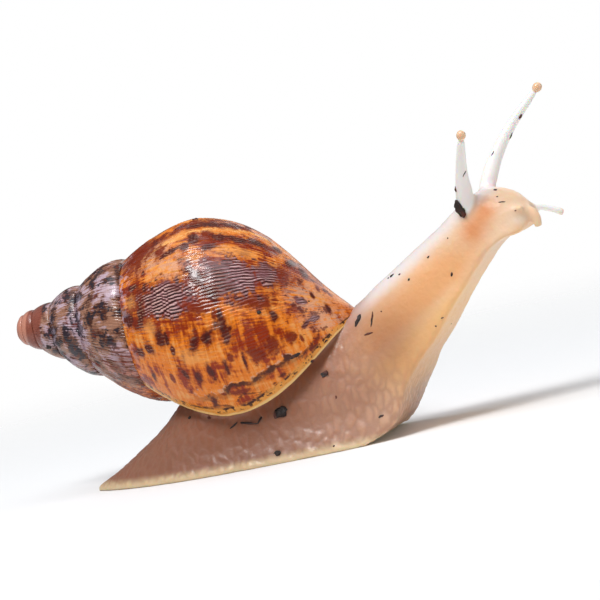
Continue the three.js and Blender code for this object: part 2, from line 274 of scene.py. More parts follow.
back = Vector((
    math.sin(CAMERA_AZIMUTH) * math.cos(CAMERA_HEIGHT),
    -math.cos(CAMERA_AZIMUTH) * math.cos(CAMERA_HEIGHT),
    math.sin(CAMERA_HEIGHT),
))
level = Vector((math.cos(CAMERA_AZIMUTH), math.sin(CAMERA_AZIMUTH), 0))
upright = back.cross(level)
across = math.cos(CAMERA_ROLL) * level - math.sin(CAMERA_ROLL) * upright
upward = math.sin(CAMERA_ROLL) * level + math.cos(CAMERA_ROLL) * upright

lens = bpy.data.cameras.new("camera")
lens.sensor_width = SENSOR
lens.lens = SENSOR * CAMERA_DISTANCE / (PICTURE_WIDTH * PIXEL)
lens.clip_start = 0.01
camera = placed("camera", lens)
camera.matrix_world = Matrix.Translation(AIM + back * CAMERA_DISTANCE) @ Matrix(
    (across, upward, back)
).transposed().to_4x4()
scene.camera = camera
print("Lens:", round(lens.lens, 1), "mm")


# %% Hang the lights
def softbox(name, side, height, front, size, power, colour=(1, 1, 1)):
    """An area light at so many metres right, above and in front of the aim, as the camera sees it."""
    lamp = bpy.data.lights.new(name, "AREA")
    lamp.shape = "RECTANGLE"
    lamp.size, lamp.size_y = size
    lamp.energy = power
    lamp.color = colour
    place = AIM + across * side + upward * height + back * front
    turn = (place - AIM).to_track_quat("Z", "Y").to_matrix().to_4x4()
    placed(name, lamp).matrix_world = Matrix.Translation(place) @ turn


softbox("key_softbox", -0.42, 0.64, 0.44, (0.36, 0.30), 5.2)
softbox("top_softbox", -0.32, 0.88, 0.24, (1.0, 0.7), 4.4, (0.88, 0.93, 1.0))
softbox("side_softbox", 0.75, 0.25, 0.25, (0.5, 0.5), 1.3)
softbox("rear_softbox", 0.3, 0.5, -0.6, (0.6, 0.4), 1.0)
print("Lights:", len(bpy.data.lights))

# %% Colour the world and set the view
WORLD_LIGHT = 0.22
world = bpy.data.worlds.new("white studio")
world.use_nodes = True
world.node_tree.nodes.clear()
sky = Wire(world.node_tree)
seen_directly = sky.node("ShaderNodeLightPath", output="Is Camera Ray")
glow = sky.node("ShaderNodeBackground", sockets={
    "Color": (1, 1, 1, 1),
    "Strength": seen_directly * (1 - WORLD_LIGHT) + WORLD_LIGHT,
})
glow.node("ShaderNodeOutputWorld", sockets={"Surface": glow})
scene.world = world
scene.view_settings.view_transform = "Standard"
print("World light:", WORLD_LIGHT)


# %% Helpers for finishes
def rgb(red, green, blue):
    """A colour given as 0 to 255 of a screen, as the linear numbers that a shader takes."""
    parts = [v / 255 for v in (red, green, blue)]
    return (*(v / 12.92 if v < 0.04045 else ((v + 0.055) / 1.055) ** 2.4 for v in parts), 1)


def new_finish(name):
    """An empty material, and a wire to start its nodes from."""
    material = bpy.data.materials.new(name)
    material.use_nodes = True
    material.node_tree.nodes.clear()
    return material, Wire(material.node_tree)


def surface(start, settings, sockets):
    """Ends a material with the shader that all its inputs go into."""
    shader = start.node("ShaderNodeBsdfPrincipled", settings, sockets)
    shader.node("ShaderNodeOutputMaterial", sockets={"Surface": shader})


def paint(start, colour):
    """One plain colour, for others to be laid over."""
    plain = start.node("ShaderNodeRGB")
    plain.socket.default_value = colour
    return plain


def own_place(start):
    """Where a point is on its own piece, in metres."""
    return start.node("ShaderNodeTexCoord", output="Object")


def bumped(start, height, strength, depth):
    """A surface whose light and shade follow a height, at most so many metres deep."""
    return start.node("ShaderNodeBump", sockets={"Height": height, "Strength": strength, "Distance": depth})


def noise(start, place, size, detail=2.0, rough=0.5, output=0):
    """Cloudy noise from 0 to 1, with blobs of about the given size."""
    sockets = {"Vector": place, "Scale": 1 / size, "Detail": detail, "Roughness": rough}
    return start.node("ShaderNodeTexNoise", sockets=sockets, output=output)


def joined(start, x, y=0.0, z=0.0):
    """One vector from three numbers."""
    return start.node("ShaderNodeCombineXYZ", sockets={0: x, 1: y, 2: z})


print("Finish helpers are ready")

# %% Lay the floor
FLOOR_RADIUS = 0.42
SOLID_RADIUS = 0.07  # from here outwards it fades
FLOOR_SIDES = 96
shape = bmesh.new()
bmesh.ops.create_circle(shape, cap_ends=True, radius=FLOOR_RADIUS, segments=FLOOR_SIDES)
floor = placed("floor", mesh_from("floor", shape))
floor_finish, start = new_finish("pale floor")
floor_place = own_place(start)
from_middle = floor_place.vector("LENGTH", floor_place, output="Value")
surface(start, None, {
    "Base Color": (0.9, 0.9, 0.9, 1),
    "Roughness": 0.9,
    "Specular IOR Level": 0.1,
    "Alpha": from_middle.fall(SOLID_RADIUS, FLOOR_RADIUS * 0.95),
})
floor.data.materials.append(floor_finish)
print("Floor:", FLOOR_RADIUS * 2, "m across")

# %% [markdown]
# ## The shell grows by one rule
#
# A land snail lays new shell at the lip only, a little larger and a little further round each day. So
# one profile, turned about a straight axis and enlarged by the same ratio with every turn, gives the
# whole shell. A modelling program could sweep or lathe it, but neither grows as it turns. Geometry
# Nodes can: a flat grid is rolled up by the formula, where one side of the grid counts turns and the
# other runs along the axis. The first whorls of the real shell are a blunt button, so distances along
# the axis are never let below the button's tip.

# %% Sizes of the shell
SHELL_YAW = math.radians(1.7)
SHELL_PITCH = math.radians(-8.55)
shell_axis = Vector((
    math.cos(SHELL_PITCH) * math.cos(SHELL_YAW),
    math.cos(SHELL_PITCH) * math.sin(SHELL_YAW),
    math.sin(SHELL_PITCH),
))
shell_right = shell_axis.cross(Vector((0, 0, 1))).normalized()
shell_up = shell_right.cross(shell_axis)

SUTURE_ALONG = 41.893  # all in mm, for a whorl of full size
BASE_ALONG = 104.31
CLOSED_TURNS = (-7.15, -7.0)  # up to here the sheet is drawn in to the axis, to close the tip
UPPER_TURNS = (-0.19, -0.11)  # here the last whorl passes from its upper side to its flank
WHORL_GROWTH = 1.577
WELD = 0.001 * MM  # points closer than this are one, as at the tip of the spire
FULL_BAND = SUTURE_ALONG * (WHORL_GROWTH - 1)  # how wide a whorl shows beside the next
OLD_TURN = -1.0  # where the last whorl begins
RIB_SLANT = 0.30  # how many ribs lean past for each mm along the axis
RIB_CROWDING = 0.6  # 0 keeps the number of ribs in every whorl, 1 their distance
ROUND_LENGTH = 190  # mm round the last whorl for one turn
SCAR_TURN = -0.028  # an old break, mended along a slanting line
SCAR_ALONG = 54
SCAR_SLOPE = -0.28  # mm round for one mm along
HALT_TURN = -0.290  # where growth rested for a season
HALT_ALONG = 58.5
HALT_SLOPE = -0.31
SHELL_SIZES = {
    "Rows": 78,
    "Columns": 590,
    "First turn": -0.45,
    "Last turn": 0.0,
    "Crowding": 1.0,
    "From along": SUTURE_ALONG,
    "To along": BASE_ALONG,
    "Tuck": 0.12,
    "Overlap": 0.35,
    "Lip slant": 0.134,
    "Lip slant power": 3.38,
    "Growth": WHORL_GROWTH,
    "Lip angle": math.radians(-47.4),
    "Widest radius": 30.95,
    "Widest along": 66.6,
    "Shoulder length": 46.1,
    "Shoulder power": 1.61,
    "Base length": 41.9,
    "Base power": 2.185,
    "Button tip": 4.5,
    "Origin": tuple(Vector((-78.4, 3.9, 45.6)) * MM),
    "Axis": tuple(shell_axis),
    "Right": tuple(shell_right),
    "Up": tuple(shell_up),
    "Button swell": 0.5,
    "Belly": 0.05,
    "Rib height": 0.085,
    "Ribs per turn": 192.0,
    "Scar height": 0.35,
    "Swell": 0.12,
    "Finish": None,
}
print("Whorl growth:", WHORL_GROWTH, "per turn")


# %% Write the rule of the shell as nodes
def rolled(put, share_across, share_round):
    """Where each point of the grid goes, and its turn and distance along the axis."""
    widest = put["Widest along"]
    in_wall = (share_across / (1 - put["Tuck"])).least(1)
    tucked = ((share_across - 1 + put["Tuck"]) / put["Tuck"]).most(0)
    start_along = put["From along"] - put["Overlap"]
    along = start_along + (put["To along"] - start_along) * in_wall
    crowded = 1 - (1 - share_round) ** put["Crowding"]
    down = ((along - SUTURE_ALONG) / (BASE_ALONG - SUTURE_ALONG)).most(0)
    lip = put["Last turn"] - put["Lip slant"] * down ** put["Lip slant power"]
    turn = put["First turn"] + crowded * (lip - put["First turn"])
    before = ((widest - along) / put["Shoulder length"]).most(0) ** put["Shoulder power"]
    beyond = ((along - widest) / put["Base length"]).most(0) ** put["Base power"]
    size = put["Growth"] ** turn
    band = (along - SUTURE_ALONG) / FULL_BAND
    plump = 1 + put["Button swell"] * (turn + band).fall(-5.4, -2.2)
    bulge = (band * (1 - band) * 4).most(0) * turn.fall(-1.12, -1.0) * turn.ramp(-3.4, -2.8)
    closing = 1 - turn.fall(*CLOSED_TURNS) * (1 - share_across)
    plump = (plump + put["Belly"] * bulge) * closing
    radius = size * put["Widest radius"] * (1 - before - beyond) * (1 - tucked) * plump * MM
    forward = ((size * along) ** 4 + put["Button tip"] ** 4) ** 0.25 * MM
    angle = put["Lip angle"] - turn * (2 * math.pi)
    place = put["Origin"].plus(put["Axis"].scaled(forward))
    place = place.plus(put["Right"].scaled(radius * angle.math("COSINE", angle)))
    place = place.plus(put["Up"].scaled(radius * angle.math("SINE", angle)))
    return place, turn, along


def kept(geometry, name, value):
    """Stores a number on every point under a name."""
    return geometry.node("GeometryNodeStoreNamedAttribute", {"data_type": "FLOAT", "domain": "POINT"}, {
        "Geometry": geometry, "Name": name, "Value": value,
    })


def recalled(start, name, kind="FLOAT"):
    """What is kept on every point under a name."""
    return start.node("GeometryNodeInputNamedAttribute", {"data_type": kind}, {"Name": name})


def shell_tree():
    """The tree that rolls a grid into whorls and raises the ribs on it."""
    tree, put = geometry_tree("curled shell", SHELL_SIZES)
    start = Wire(tree)
    grid = start.node("GeometryNodeMeshGrid", sockets={
        "Size X": 1.0, "Size Y": 1.0, "Vertices X": put["Rows"], "Vertices Y": put["Columns"],
    })
    flat = start.node("GeometryNodeInputPosition")
    parts = flat.node("ShaderNodeSeparateXYZ", sockets={0: flat})
    place, turn, along = rolled(put, parts.other("X") + 0.5, parts.other("Y") + 0.5)
    noted = kept(kept(grid, "turn", turn), "along", along)
    curled = noted.node("GeometryNodeSetPosition", sockets={"Geometry": noted, "Position": place})
    curled = curled.node("GeometryNodeMergeByDistance", sockets={"Geometry": curled, "Distance": WELD})
    curled = curled.node("GeometryNodeFlipFaces", sockets={"Mesh": curled})
    facing = start.node("GeometryNodeInputNormal")
    relief, ribs = rib_relief(start, put)
    curled = kept(curled, "rib", ribs / put["Rib height"])
    raised = curled.node("GeometryNodeSetPosition", sockets={
        "Geometry": curled, "Offset": facing.scaled(relief * MM),
    })
    finish_tree(tree, raised, put["Finish"])
    return tree


def rib_relief(start, put):
    """Height of the ribs and of the slow swell of the wall, in mm."""
    turn, along = recalled(start, "turn"), recalled(start, "along")
    place = start.node("GeometryNodeInputPosition")
    wavy = noise(start, place, 6 * MM, 2.0) * 2.2 + noise(start, place, 2.4 * MM, 2.0) * 1.6
    patchy = noise(start, place, 9 * MM, 3.0)
    broken = noise(start, place, 3 * MM, 2.0).ramp(0.36, 0.58, 0.35, 1.3)
    size = put["Growth"] ** turn
    steady = put["Growth"] ** (turn * RIB_CROWDING)
    count = put["Ribs per turn"] * steady * (1 / (RIB_CROWDING * math.log(WHORL_GROWTH)))
    slant = (along - 66) * RIB_SLANT
    phase = (count + slant + wavy) * (2 * math.pi)
    wave = phase.math("COSINE", phase)
    open_wall = along.ramp(SUTURE_ALONG - 0.3, SUTURE_ALONG + 5) * along.ramp(86, 100, 1.0, 0.25)
    near_lip = turn.ramp(-0.14, -0.07, 1.0, 0.3) * turn.ramp(-3.6, -2.6)
    height = put["Rib height"] * size ** 0.35 * open_wall * near_lip
    height = height * patchy.ramp(0.3, 0.62, 0.4, 1.4) * along.ramp(62, 72, 1.3, 0.75) * broken
    slow = (noise(start, place, 16 * MM, 2.0) - 0.5) * put["Swell"] * 4 * size * open_wall
    halts = noise(start, joined(start, turn * 30, along * 0.02), 1.0, 3.0)
    slow = slow + (halts - 0.5) * 0.45 * size * open_wall
    off_scar = (turn - SCAR_TURN) * ROUND_LENGTH - (along - SCAR_ALONG) * SCAR_SLOPE
    off_scar = (off_scar + (wavy - 1.9) * 1.4) / 0.7
    ridge = off_scar.math("EXPONENT", off_scar * off_scar * -1)
    ridge = ridge * along.ramp(58, 64) * along.fall(86, 92)
    return wave * height + slow + ridge * put["Scar height"] * patchy.ramp(0.35, 0.6), wave * height


rolled_shell = shell_tree()
print("Nodes in the shell's tree:", len(rolled_shell.nodes))

# %% [markdown]
# ## Colours of the shell
#
# Pigment is laid down at the lip with the shell, so the marks follow the growth: flames and spots lie
# across the whorl or along it, never at random. A mark is an ellipse in turns and distance along the
# axis. A Mapping node moves, turns and shrinks the surface's own coordinates so that the ellipse
# becomes a circle of radius 1, and a little noise frays its edge. Larger areas are measured on the
# mesh, as a finish can hold only so many nodes. The far side takes its flames from
# stretched noise, and the old whorls are worn, with a lilac bloom along the sutures that is partly matt
# wear and partly a painted sheen. Some colours are painted light and shade: a sheen and highlights on
# the rib crests of the dark areas, shade in their troughs, and a sheen in part of the pale cream areas.

# %% List the marks
# Each mark: turn, mm along the axis, half its length round and along the whorl in mm, degrees turned.
DARK_MARKS = [
    (-0.126, 54.0, 2.5, 1.2, -12), (-0.126, 56.1, 1.7, 0.6, 5), (-0.107, 57.2, 1.3, 0.6, 0),
    (-0.119, 64.0, 2.3, 1.1, -20), (-0.126, 68.3, 2.1, 1.3, -35), (-0.135, 72.8, 2.7, 1.7, 0),
    (-0.152, 72.7, 2.6, 0.7, 0), (-0.150, 86.0, 1.4, 0.7, 0), (-0.075, 58.6, 2.0, 0.8, 35),
    (-0.070, 62.3, 1.9, 0.9, 0), (-0.077, 66.7, 1.7, 0.8, 10), (-0.082, 71.0, 1.8, 0.7, 0),
    (-0.158, 44.5, 2.7, 2.0, 0), (-0.170, 49.0, 4.2, 1.2, -10), (-0.220, 46.9, 1.1, 1.6, -10),
    (-0.210, 51.0, 1.6, 0.7, 0), (-0.242, 50.7, 1.1, 0.6, 0), (-0.095, 45.8, 1.8, 1.4, -30),
    (-0.106, 49.7, 1.6, 1.4, 0), (-0.051, 47.8, 1.8, 0.7, -10), (-0.266, 59.5, 0.9, 3.4, 25),
    (-0.283, 67.0, 2.5, 1.6, 0), (-0.268, 64.3, 1.7, 1.4, 0), (-0.267, 71.2, 1.4, 2.3, 25),
    (-0.290, 75.0, 2.0, 2.6, 0), (-0.293, 80.0, 1.5, 3.0, 0), (-0.302, 84.5, 1.6, 2.2, 10),
    (-0.325, 66.5, 1.4, 2.8, 0), (-0.330, 71.5, 2.0, 3.4, 0), (-0.338, 77.5, 1.8, 3.6, 10),
    (-0.315, 90.0, 2.2, 1.3, 0), (-0.290, 93.5, 3.6, 1.0, -15), (-0.272, 96.2, 3.2, 1.0, 0),
    (-0.215, 67.2, 5.6, 1.7, 32), (-0.185, 71.5, 3.0, 1.6, 25), (-0.200, 96.2, 1.5, 0.4, 0),
    (-0.160, 98.4, 2.6, 0.5, 0), (-0.030, 64.2, 1.3, 1.0, 0), (-0.088, 76.0, 2.2, 0.4, 0),
]
PLUM_AREAS = [
    (-0.186, 57.5, 5.0, 8.0, 8), (-0.213, 76.0, 6.0, 8.5, 4), (-0.225, 86.5, 5.2, 2.6, 0),
    (-0.180, 93.0, 1.6, 1.0, 0), (-0.140, 94.6, 1.8, 1.0, -20), (-0.130, 92.5, 1.8, 0.6, -30),
]
RUST_SPOTS = [
    (-0.105, 90.4, 1.5, 0.4, 0), (-0.097, 72.8, 1.3, 0.9, 0), (-0.160, 71.3, 1.6, 0.9, 0),
    (-0.060, 54.3, 1.5, 0.6, 0), (-0.130, 65.2, 2.0, 0.8, 0), (-0.230, 98.3, 2.6, 0.5, 0),
    (-0.225, 100.8, 2.2, 0.5, 0),
]
RUST_AREAS = [
    (-0.095, 79.2, 2.4, 2.1, 0), (-0.106, 83.2, 2.3, 2.1, 0), (-0.111, 88.1, 1.8, 1.3, 0),
    (-0.150, 46.8, 2.6, 1.4, 0), (-0.195, 49.0, 3.6, 1.4, 0), (-0.170, 68.0, 2.6, 5.0, 10),
    (-0.175, 82.0, 2.5, 5.0, 0), (-0.235, 90.0, 4.5, 2.0, 0), (-0.300, 88.0, 2.5, 2.5, 0),
    (-0.290, 71.0, 3.5, 2.0, 0), (-0.045, 71.5, 0.9, 3.6, 0), (-0.300, 49.0, 9.0, 5.0, 0),
    (-0.275, 56.0, 3.0, 2.0, 0), (-0.235, 72.0, 2.0, 5.0, 0), (-0.205, 66.0, 3.0, 3.0, 0),
]
GOLD_AREAS = [
    (-0.262, 77.5, 1.9, 7.0, 4), (-0.246, 67.5, 2.0, 2.4, 0), (-0.293, 60.0, 1.0, 4.0, -12),
    (-0.306, 68.0, 0.8, 6.0, -6), (-0.320, 78.0, 0.9, 6.0, -10), (-0.333, 86.0, 1.0, 4.0, -14),
    (-0.190, 45.5, 3.0, 2.2, 0), (-0.140, 51.5, 2.4, 2.0, 0), (-0.100, 62.0, 1.8, 5.0, 0),
]
# Pale cream areas: in the upper left of the whorl they are partly a painted sheen.
CREAM_AND_SHEEN_AREAS = [
    (-0.238, 59.5, 5.2, 5.0, 15), (-0.255, 53.5, 4.0, 3.0, 0), (-0.135, 97.0, 8.0, 5.0, 0),
    (-0.190, 95.0, 9.0, 5.0, 0), (-0.275, 54.0, 7.0, 7.0, 0),
]
AREAS = {"plum": PLUM_AREAS, "rust": RUST_AREAS, "gold": GOLD_AREAS, "cream_and_sheen": CREAM_AND_SHEEN_AREAS}
print("Small marks:", len(DARK_MARKS) + len(RUST_SPOTS))


# %% Measure the large areas on the mesh
def read(mesh, name):
    """The numbers that are kept on the vertices of a mesh."""
    values = np.empty(len(mesh.vertices), np.float32)
    mesh.attributes[name].data.foreach_get("value", values)
    return values


def store_areas(mesh):
    """Keeps how far each vertex is from the nearest area of a kind, where 1 is the outline."""
    turn, along = read(mesh, "turn"), read(mesh, "along")
    for name, table in AREAS.items():
        nearest = np.full(len(turn), 9.0)
        for at_turn, at_along, half_round, half_along, degrees in table:
            tilt = math.radians(degrees)
            x, y = (turn - at_turn) * ROUND_LENGTH, along - at_along
            u = (x * math.cos(tilt) + y * math.sin(tilt)) / half_round
            v = (y * math.cos(tilt) - x * math.sin(tilt)) / half_along
            nearest = np.minimum(nearest, np.hypot(u, v))
        store(mesh, name, nearest)
    store(mesh, "scar", (turn - SCAR_TURN) * ROUND_LENGTH - (along - SCAR_ALONG) * SCAR_SLOPE)
    store(mesh, "halt", (turn - HALT_TURN) * ROUND_LENGTH - (along - HALT_ALONG) * HALT_SLOPE)


# %% Turn the marks into a finish
def attribute(start, name):
    """A number that is kept on every vertex of the piece."""
    settings = {"attribute_type": "GEOMETRY", "attribute_name": name}
    return start.node("ShaderNodeAttribute", settings, output="Fac")


def marks(place, table):
    """How far a point is from the nearest mark of a table, where 1 is the outline."""
    nearest = None
    for turn, along, half_round, half_along, degrees in table:
        flat = place.node("ShaderNodeMapping", {"vector_type": "TEXTURE"}, {
            "Vector": place,
            "Location": (turn * ROUND_LENGTH, along, 0),
            "Rotation": (0, 0, math.radians(degrees)),
            "Scale": (half_round, half_along, 1),
        })
        away = flat.vector("LENGTH", flat, output="Value")
        nearest = away if nearest is None else nearest.least(away)
    return nearest


def inside(away, soft):
    """From 1 inside an outline to 0 outside it, with a soft edge."""
    return away.fall(1 - soft, 1 + soft)


AMBER = rgb(230, 124, 26)
DEEP_AMBER = rgb(146, 44, 0)
GOLD = rgb(244, 176, 100)
CREAM = rgb(222, 170, 138)
RUST = rgb(122, 34, 4)
# The next two colours are a painted sheen and a painted highlight on the rib crests of the plum areas.
PLUM_SHEEN = rgb(188, 142, 150)
CREST_HIGHLIGHT = rgb(228, 196, 200)
MAROON = rgb(84, 20, 10)
INK = rgb(34, 10, 12)
LILAC = rgb(206, 186, 204)
SCAR_BROWN = rgb(70, 26, 10)
TAN = rgb(162, 114, 90)
UMBER = rgb(78, 38, 26)
CHESTNUT = rgb(142, 76, 60)
ROSE_BROWN = rgb(200, 134, 112)
SLATE = rgb(38, 30, 42)
LIP_GOLD = rgb(228, 156, 66)
LIP_CREAM = rgb(240, 202, 132)


def centred(start, place, size, detail=3.0, rough=0.6):
    """Noise that swings evenly about 0, from -1 to 1."""
    return noise(start, place, size, detail, rough).ramp(0.3, 0.7, -1.0, 1.0)


def shell_colours(start, turn, along, place):
    """The pigment of the last whorl, with painted sheen, highlights and shade on the ribs of its dark
    areas, and a painted sheen in part of its pale areas.
    """
    rolled_out = joined(start, turn * ROUND_LENGTH, along)
    streaks = centred(start, joined(start, turn * ROUND_LENGTH * 1.1, along * 0.10), 1.0)
    clouds = centred(start, place, 8 * MM)
    grain = centred(start, place, 1.4 * MM)
    blots = centred(start, place, 3.2 * MM)
    fray = grain * 0.24 + blots * 0.34 + streaks * 0.14
    upper = turn.fall(*UPPER_TURNS)
    amber = paint(start, AMBER)
    threads = centred(start, joined(start, turn * ROUND_LENGTH / 9, along / 1.1), 1.0, 2.0)
    lines = streaks * (0.25 + upper * 0.5) + threads * (0.5 - upper * 0.35)
    colour = amber.tinted(DEEP_AMBER, (lines + clouds * 0.8 + blots * 0.4).ramp(-0.3, 0.8))
    colour = colour.tinted(GOLD, (lines * -0.9 - clouds * 0.5).ramp(0.1, 1.0) * 0.7)
    colour = colour.tinted(RUST, (blots * 0.6 + streaks * 0.5 + clouds * 0.3).ramp(0.0, 0.9) * upper * 0.7)
    colour = colour.tinted(GOLD, inside(attribute(start, "gold") + fray * 1.5, 0.8) * 0.45)
    # Pale cream, partly a painted sheen in the upper left of the whorl.
    cream_and_sheen = inside(attribute(start, "cream_and_sheen") + fray, 0.6) * (streaks + grain * 0.8).ramp(-0.8, 0.4)
    colour = colour.tinted(CREAM, cream_and_sheen * 0.7)
    halt = attribute(start, "halt") + blots * 0.7 + grain * 0.3
    past = halt.fall(-4.0, -0.8) * turn.ramp(-0.42, -0.37)
    colour = colour.tinted(RUST, past * (streaks * 0.5 + blots).ramp(-0.9, 0.5) * 0.9)
    colour = colour.tinted(MAROON, past * (clouds + streaks * 0.5 + blots * 0.5).ramp(-0.1, 0.7) * 0.8)
    resting = halt.ramp(-1.1, -0.4) * halt.fall(0.2, 0.9) * along.ramp(46, 54)
    colour = colour.tinted(GOLD, resting * along.fall(92, 99) * (grain + streaks).ramp(-1.0, 0.3) * 0.9)
    behind = turn.fall(-0.42, -0.35)
    flames = noise(start, joined(start, turn * ROUND_LENGTH / 7, along / 11, turn * 3), 1.0, 3.0, 0.55)
    flames = 1 + (0.54 - flames - fray * 0.04) * 8 + (1 - behind) * 4
    dots = noise(start, joined(start, turn * ROUND_LENGTH / 2.6, along / 2.0), 1.0, 1.0)
    dots = 1 + (0.66 - dots - fray * 0.04) * 8 + (1 - behind) * 4
    flecks = blots * 0.6 + grain * 0.6 + streaks * 0.2
    colour = colour.tinted(MAROON, flecks.ramp(0.35, 0.7) * along.ramp(82, 92) * 0.7)
    rust = attribute(start, "rust").least(marks(rolled_out, RUST_SPOTS)) + fray
    colour = colour.tinted(RUST, inside(rust, 0.4) * 0.95)
    plum = attribute(start, "plum") + fray
    colour = colour.tinted(RUST, plum.fall(0.9, 1.5) * 0.7)
    colour = colour.tinted(MAROON, inside(plum, 0.2) * 0.9)
    rib = attribute(start, "rib")
    # In the plum areas the rib crests are partly worn pale and partly a painted sheen and highlight.
    sheen_and_wear = inside(plum, 0.3) * (clouds + streaks * 0.4 + blots * 0.3).ramp(-0.8, 0.5, 0.25, 1.0)
    colour = colour.tinted(PLUM_SHEEN, sheen_and_wear * rib.ramp(-0.5, 0.7) * 0.75)
    colour = colour.tinted(CREST_HIGHLIGHT, sheen_and_wear * rib.ramp(0.35, 0.9) * 0.5)
    # Painted shade in the rib troughs.
    colour = colour.tinted(INK, rib.fall(-0.8, 0.1) * inside(plum, 0.3) * 0.8)
    dark = marks(rolled_out, DARK_MARKS).least(flames).least(dots) + fray
    colour = colour.tinted(RUST, dark.fall(0.8, 1.9) * 0.6)
    colour = colour.tinted(MAROON, inside(dark, 0.28) * 0.95)
    colour = colour.tinted(INK, dark.fall(0.3, 0.9) * grain.ramp(-0.4, 0.5) * 0.55)
    scar = attribute(start, "scar") + clouds * 1.4 + blots * 0.5 + grain * 0.2
    length = along.ramp(56, 62) * along.fall(88, 94)
    crack = scar.ramp(-1.4, -0.6) * scar.fall(0.2, 1.5) * (clouds + blots).ramp(-1.0, 0.2, 0.4, 1.0)
    second = scar.ramp(2.6, 3.4) * scar.fall(3.7, 4.8) * (streaks + blots).ramp(-0.3, 0.5)
    pale = scar.ramp(-1.9, -1.3) * scar.fall(-1.1, -0.7) * grain.ramp(0.0, 0.5)
    colour = colour.tinted(CREAM, pale * length * 0.8)
    colour = colour.tinted(SCAR_BROWN, crack.most(second * 0.8) * length * 0.95)
    # Rib crests in the plum and dark areas: paler with wear, and partly a painted highlight.
    crests = rib.ramp(0.2, 1.0) * inside(plum.least(dark), 0.5)
    crests = crests * along.ramp(55, 63, 0.45, 0.22)
    return colour.tinted(CREAM, crests), streaks, clouds, grain, blots


def worn_colours(start, colour, turn, along, place, streaks, clouds, grain, blots):
    """Fades the colours towards the old whorls and the sutures, where a lilac bloom is partly wear and
    partly a painted sheen.
    """
    patches = centred(start, place.plus((0.1, 0.0, 0.0)), 4.0 * MM, 4.0)
    aged = paint(start, TAN).tinted(UMBER, (patches + streaks * 0.5).ramp(-0.6, 0.6))
    aged = aged.tinted(RUST, (blots + clouds * 0.6).ramp(0.3, 1.0) * 0.5)
    aged = aged.tinted(LILAC, (clouds * 0.7 - streaks * 0.4 - patches * 0.4).ramp(0.15, 0.8) * 0.7)
    aged = aged.tinted(SLATE, (grain * 0.7 + patches * 0.8 + streaks * 0.2).ramp(0.35, 0.55) * 0.9)
    colour = colour.tinted(aged, (turn + clouds * 0.06).fall(-1.10, -0.90))
    age = turn + ((along - SUTURE_ALONG) / FULL_BAND).least(1)
    tip = paint(start, CHESTNUT).tinted(MAROON, (streaks + clouds * 0.5).ramp(-0.1, 1.0) * 0.6)
    tip = tip.tinted(ROSE_BROWN, age.fall(-3.8, -3.6))
    colour = colour.tinted(tip, (age + clouds * 0.05).fall(-2.75, -2.6) * 0.95)
    low = turn.ramp(-1.12, -1.04) * turn.fall(-0.99, -0.95)
    colour = colour.tinted(TAN, low * streaks.ramp(-0.6, 0.4) * 0.7)
    colour = colour.tinted(RUST, low * streaks.ramp(0.3, 0.8))
    # A lilac bloom along the sutures: partly wear, partly a painted sheen.
    bloom_and_sheen = (along + blots * 2.5 + grain * 1.5).fall(42.5, 46.5) * turn.ramp(-2.7, -2.4)
    bloom_and_sheen = bloom_and_sheen * turn.ramp(-0.20, -0.10, 1.0, 0.4)
    colour = colour.tinted(LILAC, bloom_and_sheen * (grain + patches * 0.5).ramp(-0.2, 0.6) * 0.7)
    return colour.tinted(SLATE, bloom_and_sheen * patches.ramp(0.1, 0.6) * 0.6)


def lip_distance(turn, along):
    """How far a point lies behind the edge of the lip, in mm."""
    down = ((along - SUTURE_ALONG) / (BASE_ALONG - SUTURE_ALONG)).most(0)
    edge = down ** SHELL_SIZES["Lip slant power"] * -SHELL_SIZES["Lip slant"]
    return (edge - turn) * ROUND_LENGTH


def shell_finish():
    """Glossy horn: colours with painted sheen, highlights and shade, patches of wear, the pale lip, and
    fine lines as bump.
    """
    material, start = new_finish("horny shell")
    turn, along = attribute(start, "turn"), attribute(start, "along")
    place = own_place(start)
    colour, *noises = shell_colours(start, turn, along, place)
    colour = worn_colours(start, colour, turn, along, place, *noises)
    streaks, clouds, grain, blots = noises
    to_lip = lip_distance(turn, along) + clouds * 0.25
    colour = colour.tinted(LIP_GOLD, to_lip.fall(1.8, 3.6) * 0.85)
    dark_line = to_lip.ramp(1.9, 2.3) * to_lip.fall(2.5, 3.2) * (grain + blots).ramp(-0.6, 0.5)
    colour = colour.tinted(SCAR_BROWN, dark_line)
    colour = colour.tinted(LIP_CREAM, to_lip.fall(0.4, 1.0) * 0.85)
    dirt = to_lip.ramp(0.9, 1.6) * to_lip.fall(1.8, 3.0) * grain.ramp(0.35, 0.55)
    colour = colour.tinted(INK, dirt * 0.9)
    hairlines = noise(start, joined(start, turn * ROUND_LENGTH / 0.45, along / 7), 1.0, 2.0)
    threads = noise(start, joined(start, turn * ROUND_LENGTH / 9, along / 0.55), 1.0, 2.0)
    height = hairlines * 0.6 + threads * 0.6 + grain * 0.08
    bumps = bumped(start, height, 0.5, 0.10 * MM)
    old = turn.fall(-1.4, -0.9)
    upper = turn.fall(*UPPER_TURNS) * (1 - old)
    surface(start, None, {
        "Base Color": colour,
        "Roughness": grain.ramp(-1.0, 1.0, 0.24, 0.38),
        "Specular IOR Level": 0.25,
        "Coat Weight": 0.12 + old * 0.5 + inside(attribute(start, "plum"), 2.0) * 0.6 + upper * 0.3,
        "Coat Roughness": 0.10,
        "Normal": bumps,
    })
    return material


horn = shell_finish()
print("Nodes in the shell's finish:", len(horn.node_tree.nodes))

# %% Grow the three pieces of the shell
WALL = 0.7 * MM
BACK_SIZES = {"First turn": OLD_TURN, "Last turn": SHELL_SIZES["First turn"], "Lip slant": 0.0}
SPIRE_SIZES = {
    "Rows": 12, "Columns": 3600, "First turn": -8.2, "Last turn": OLD_TURN, "Crowding": 1.3,
    "To along": SUTURE_ALONG * WHORL_GROWTH, "Tuck": 0.0, "Lip slant": 0.0,
}


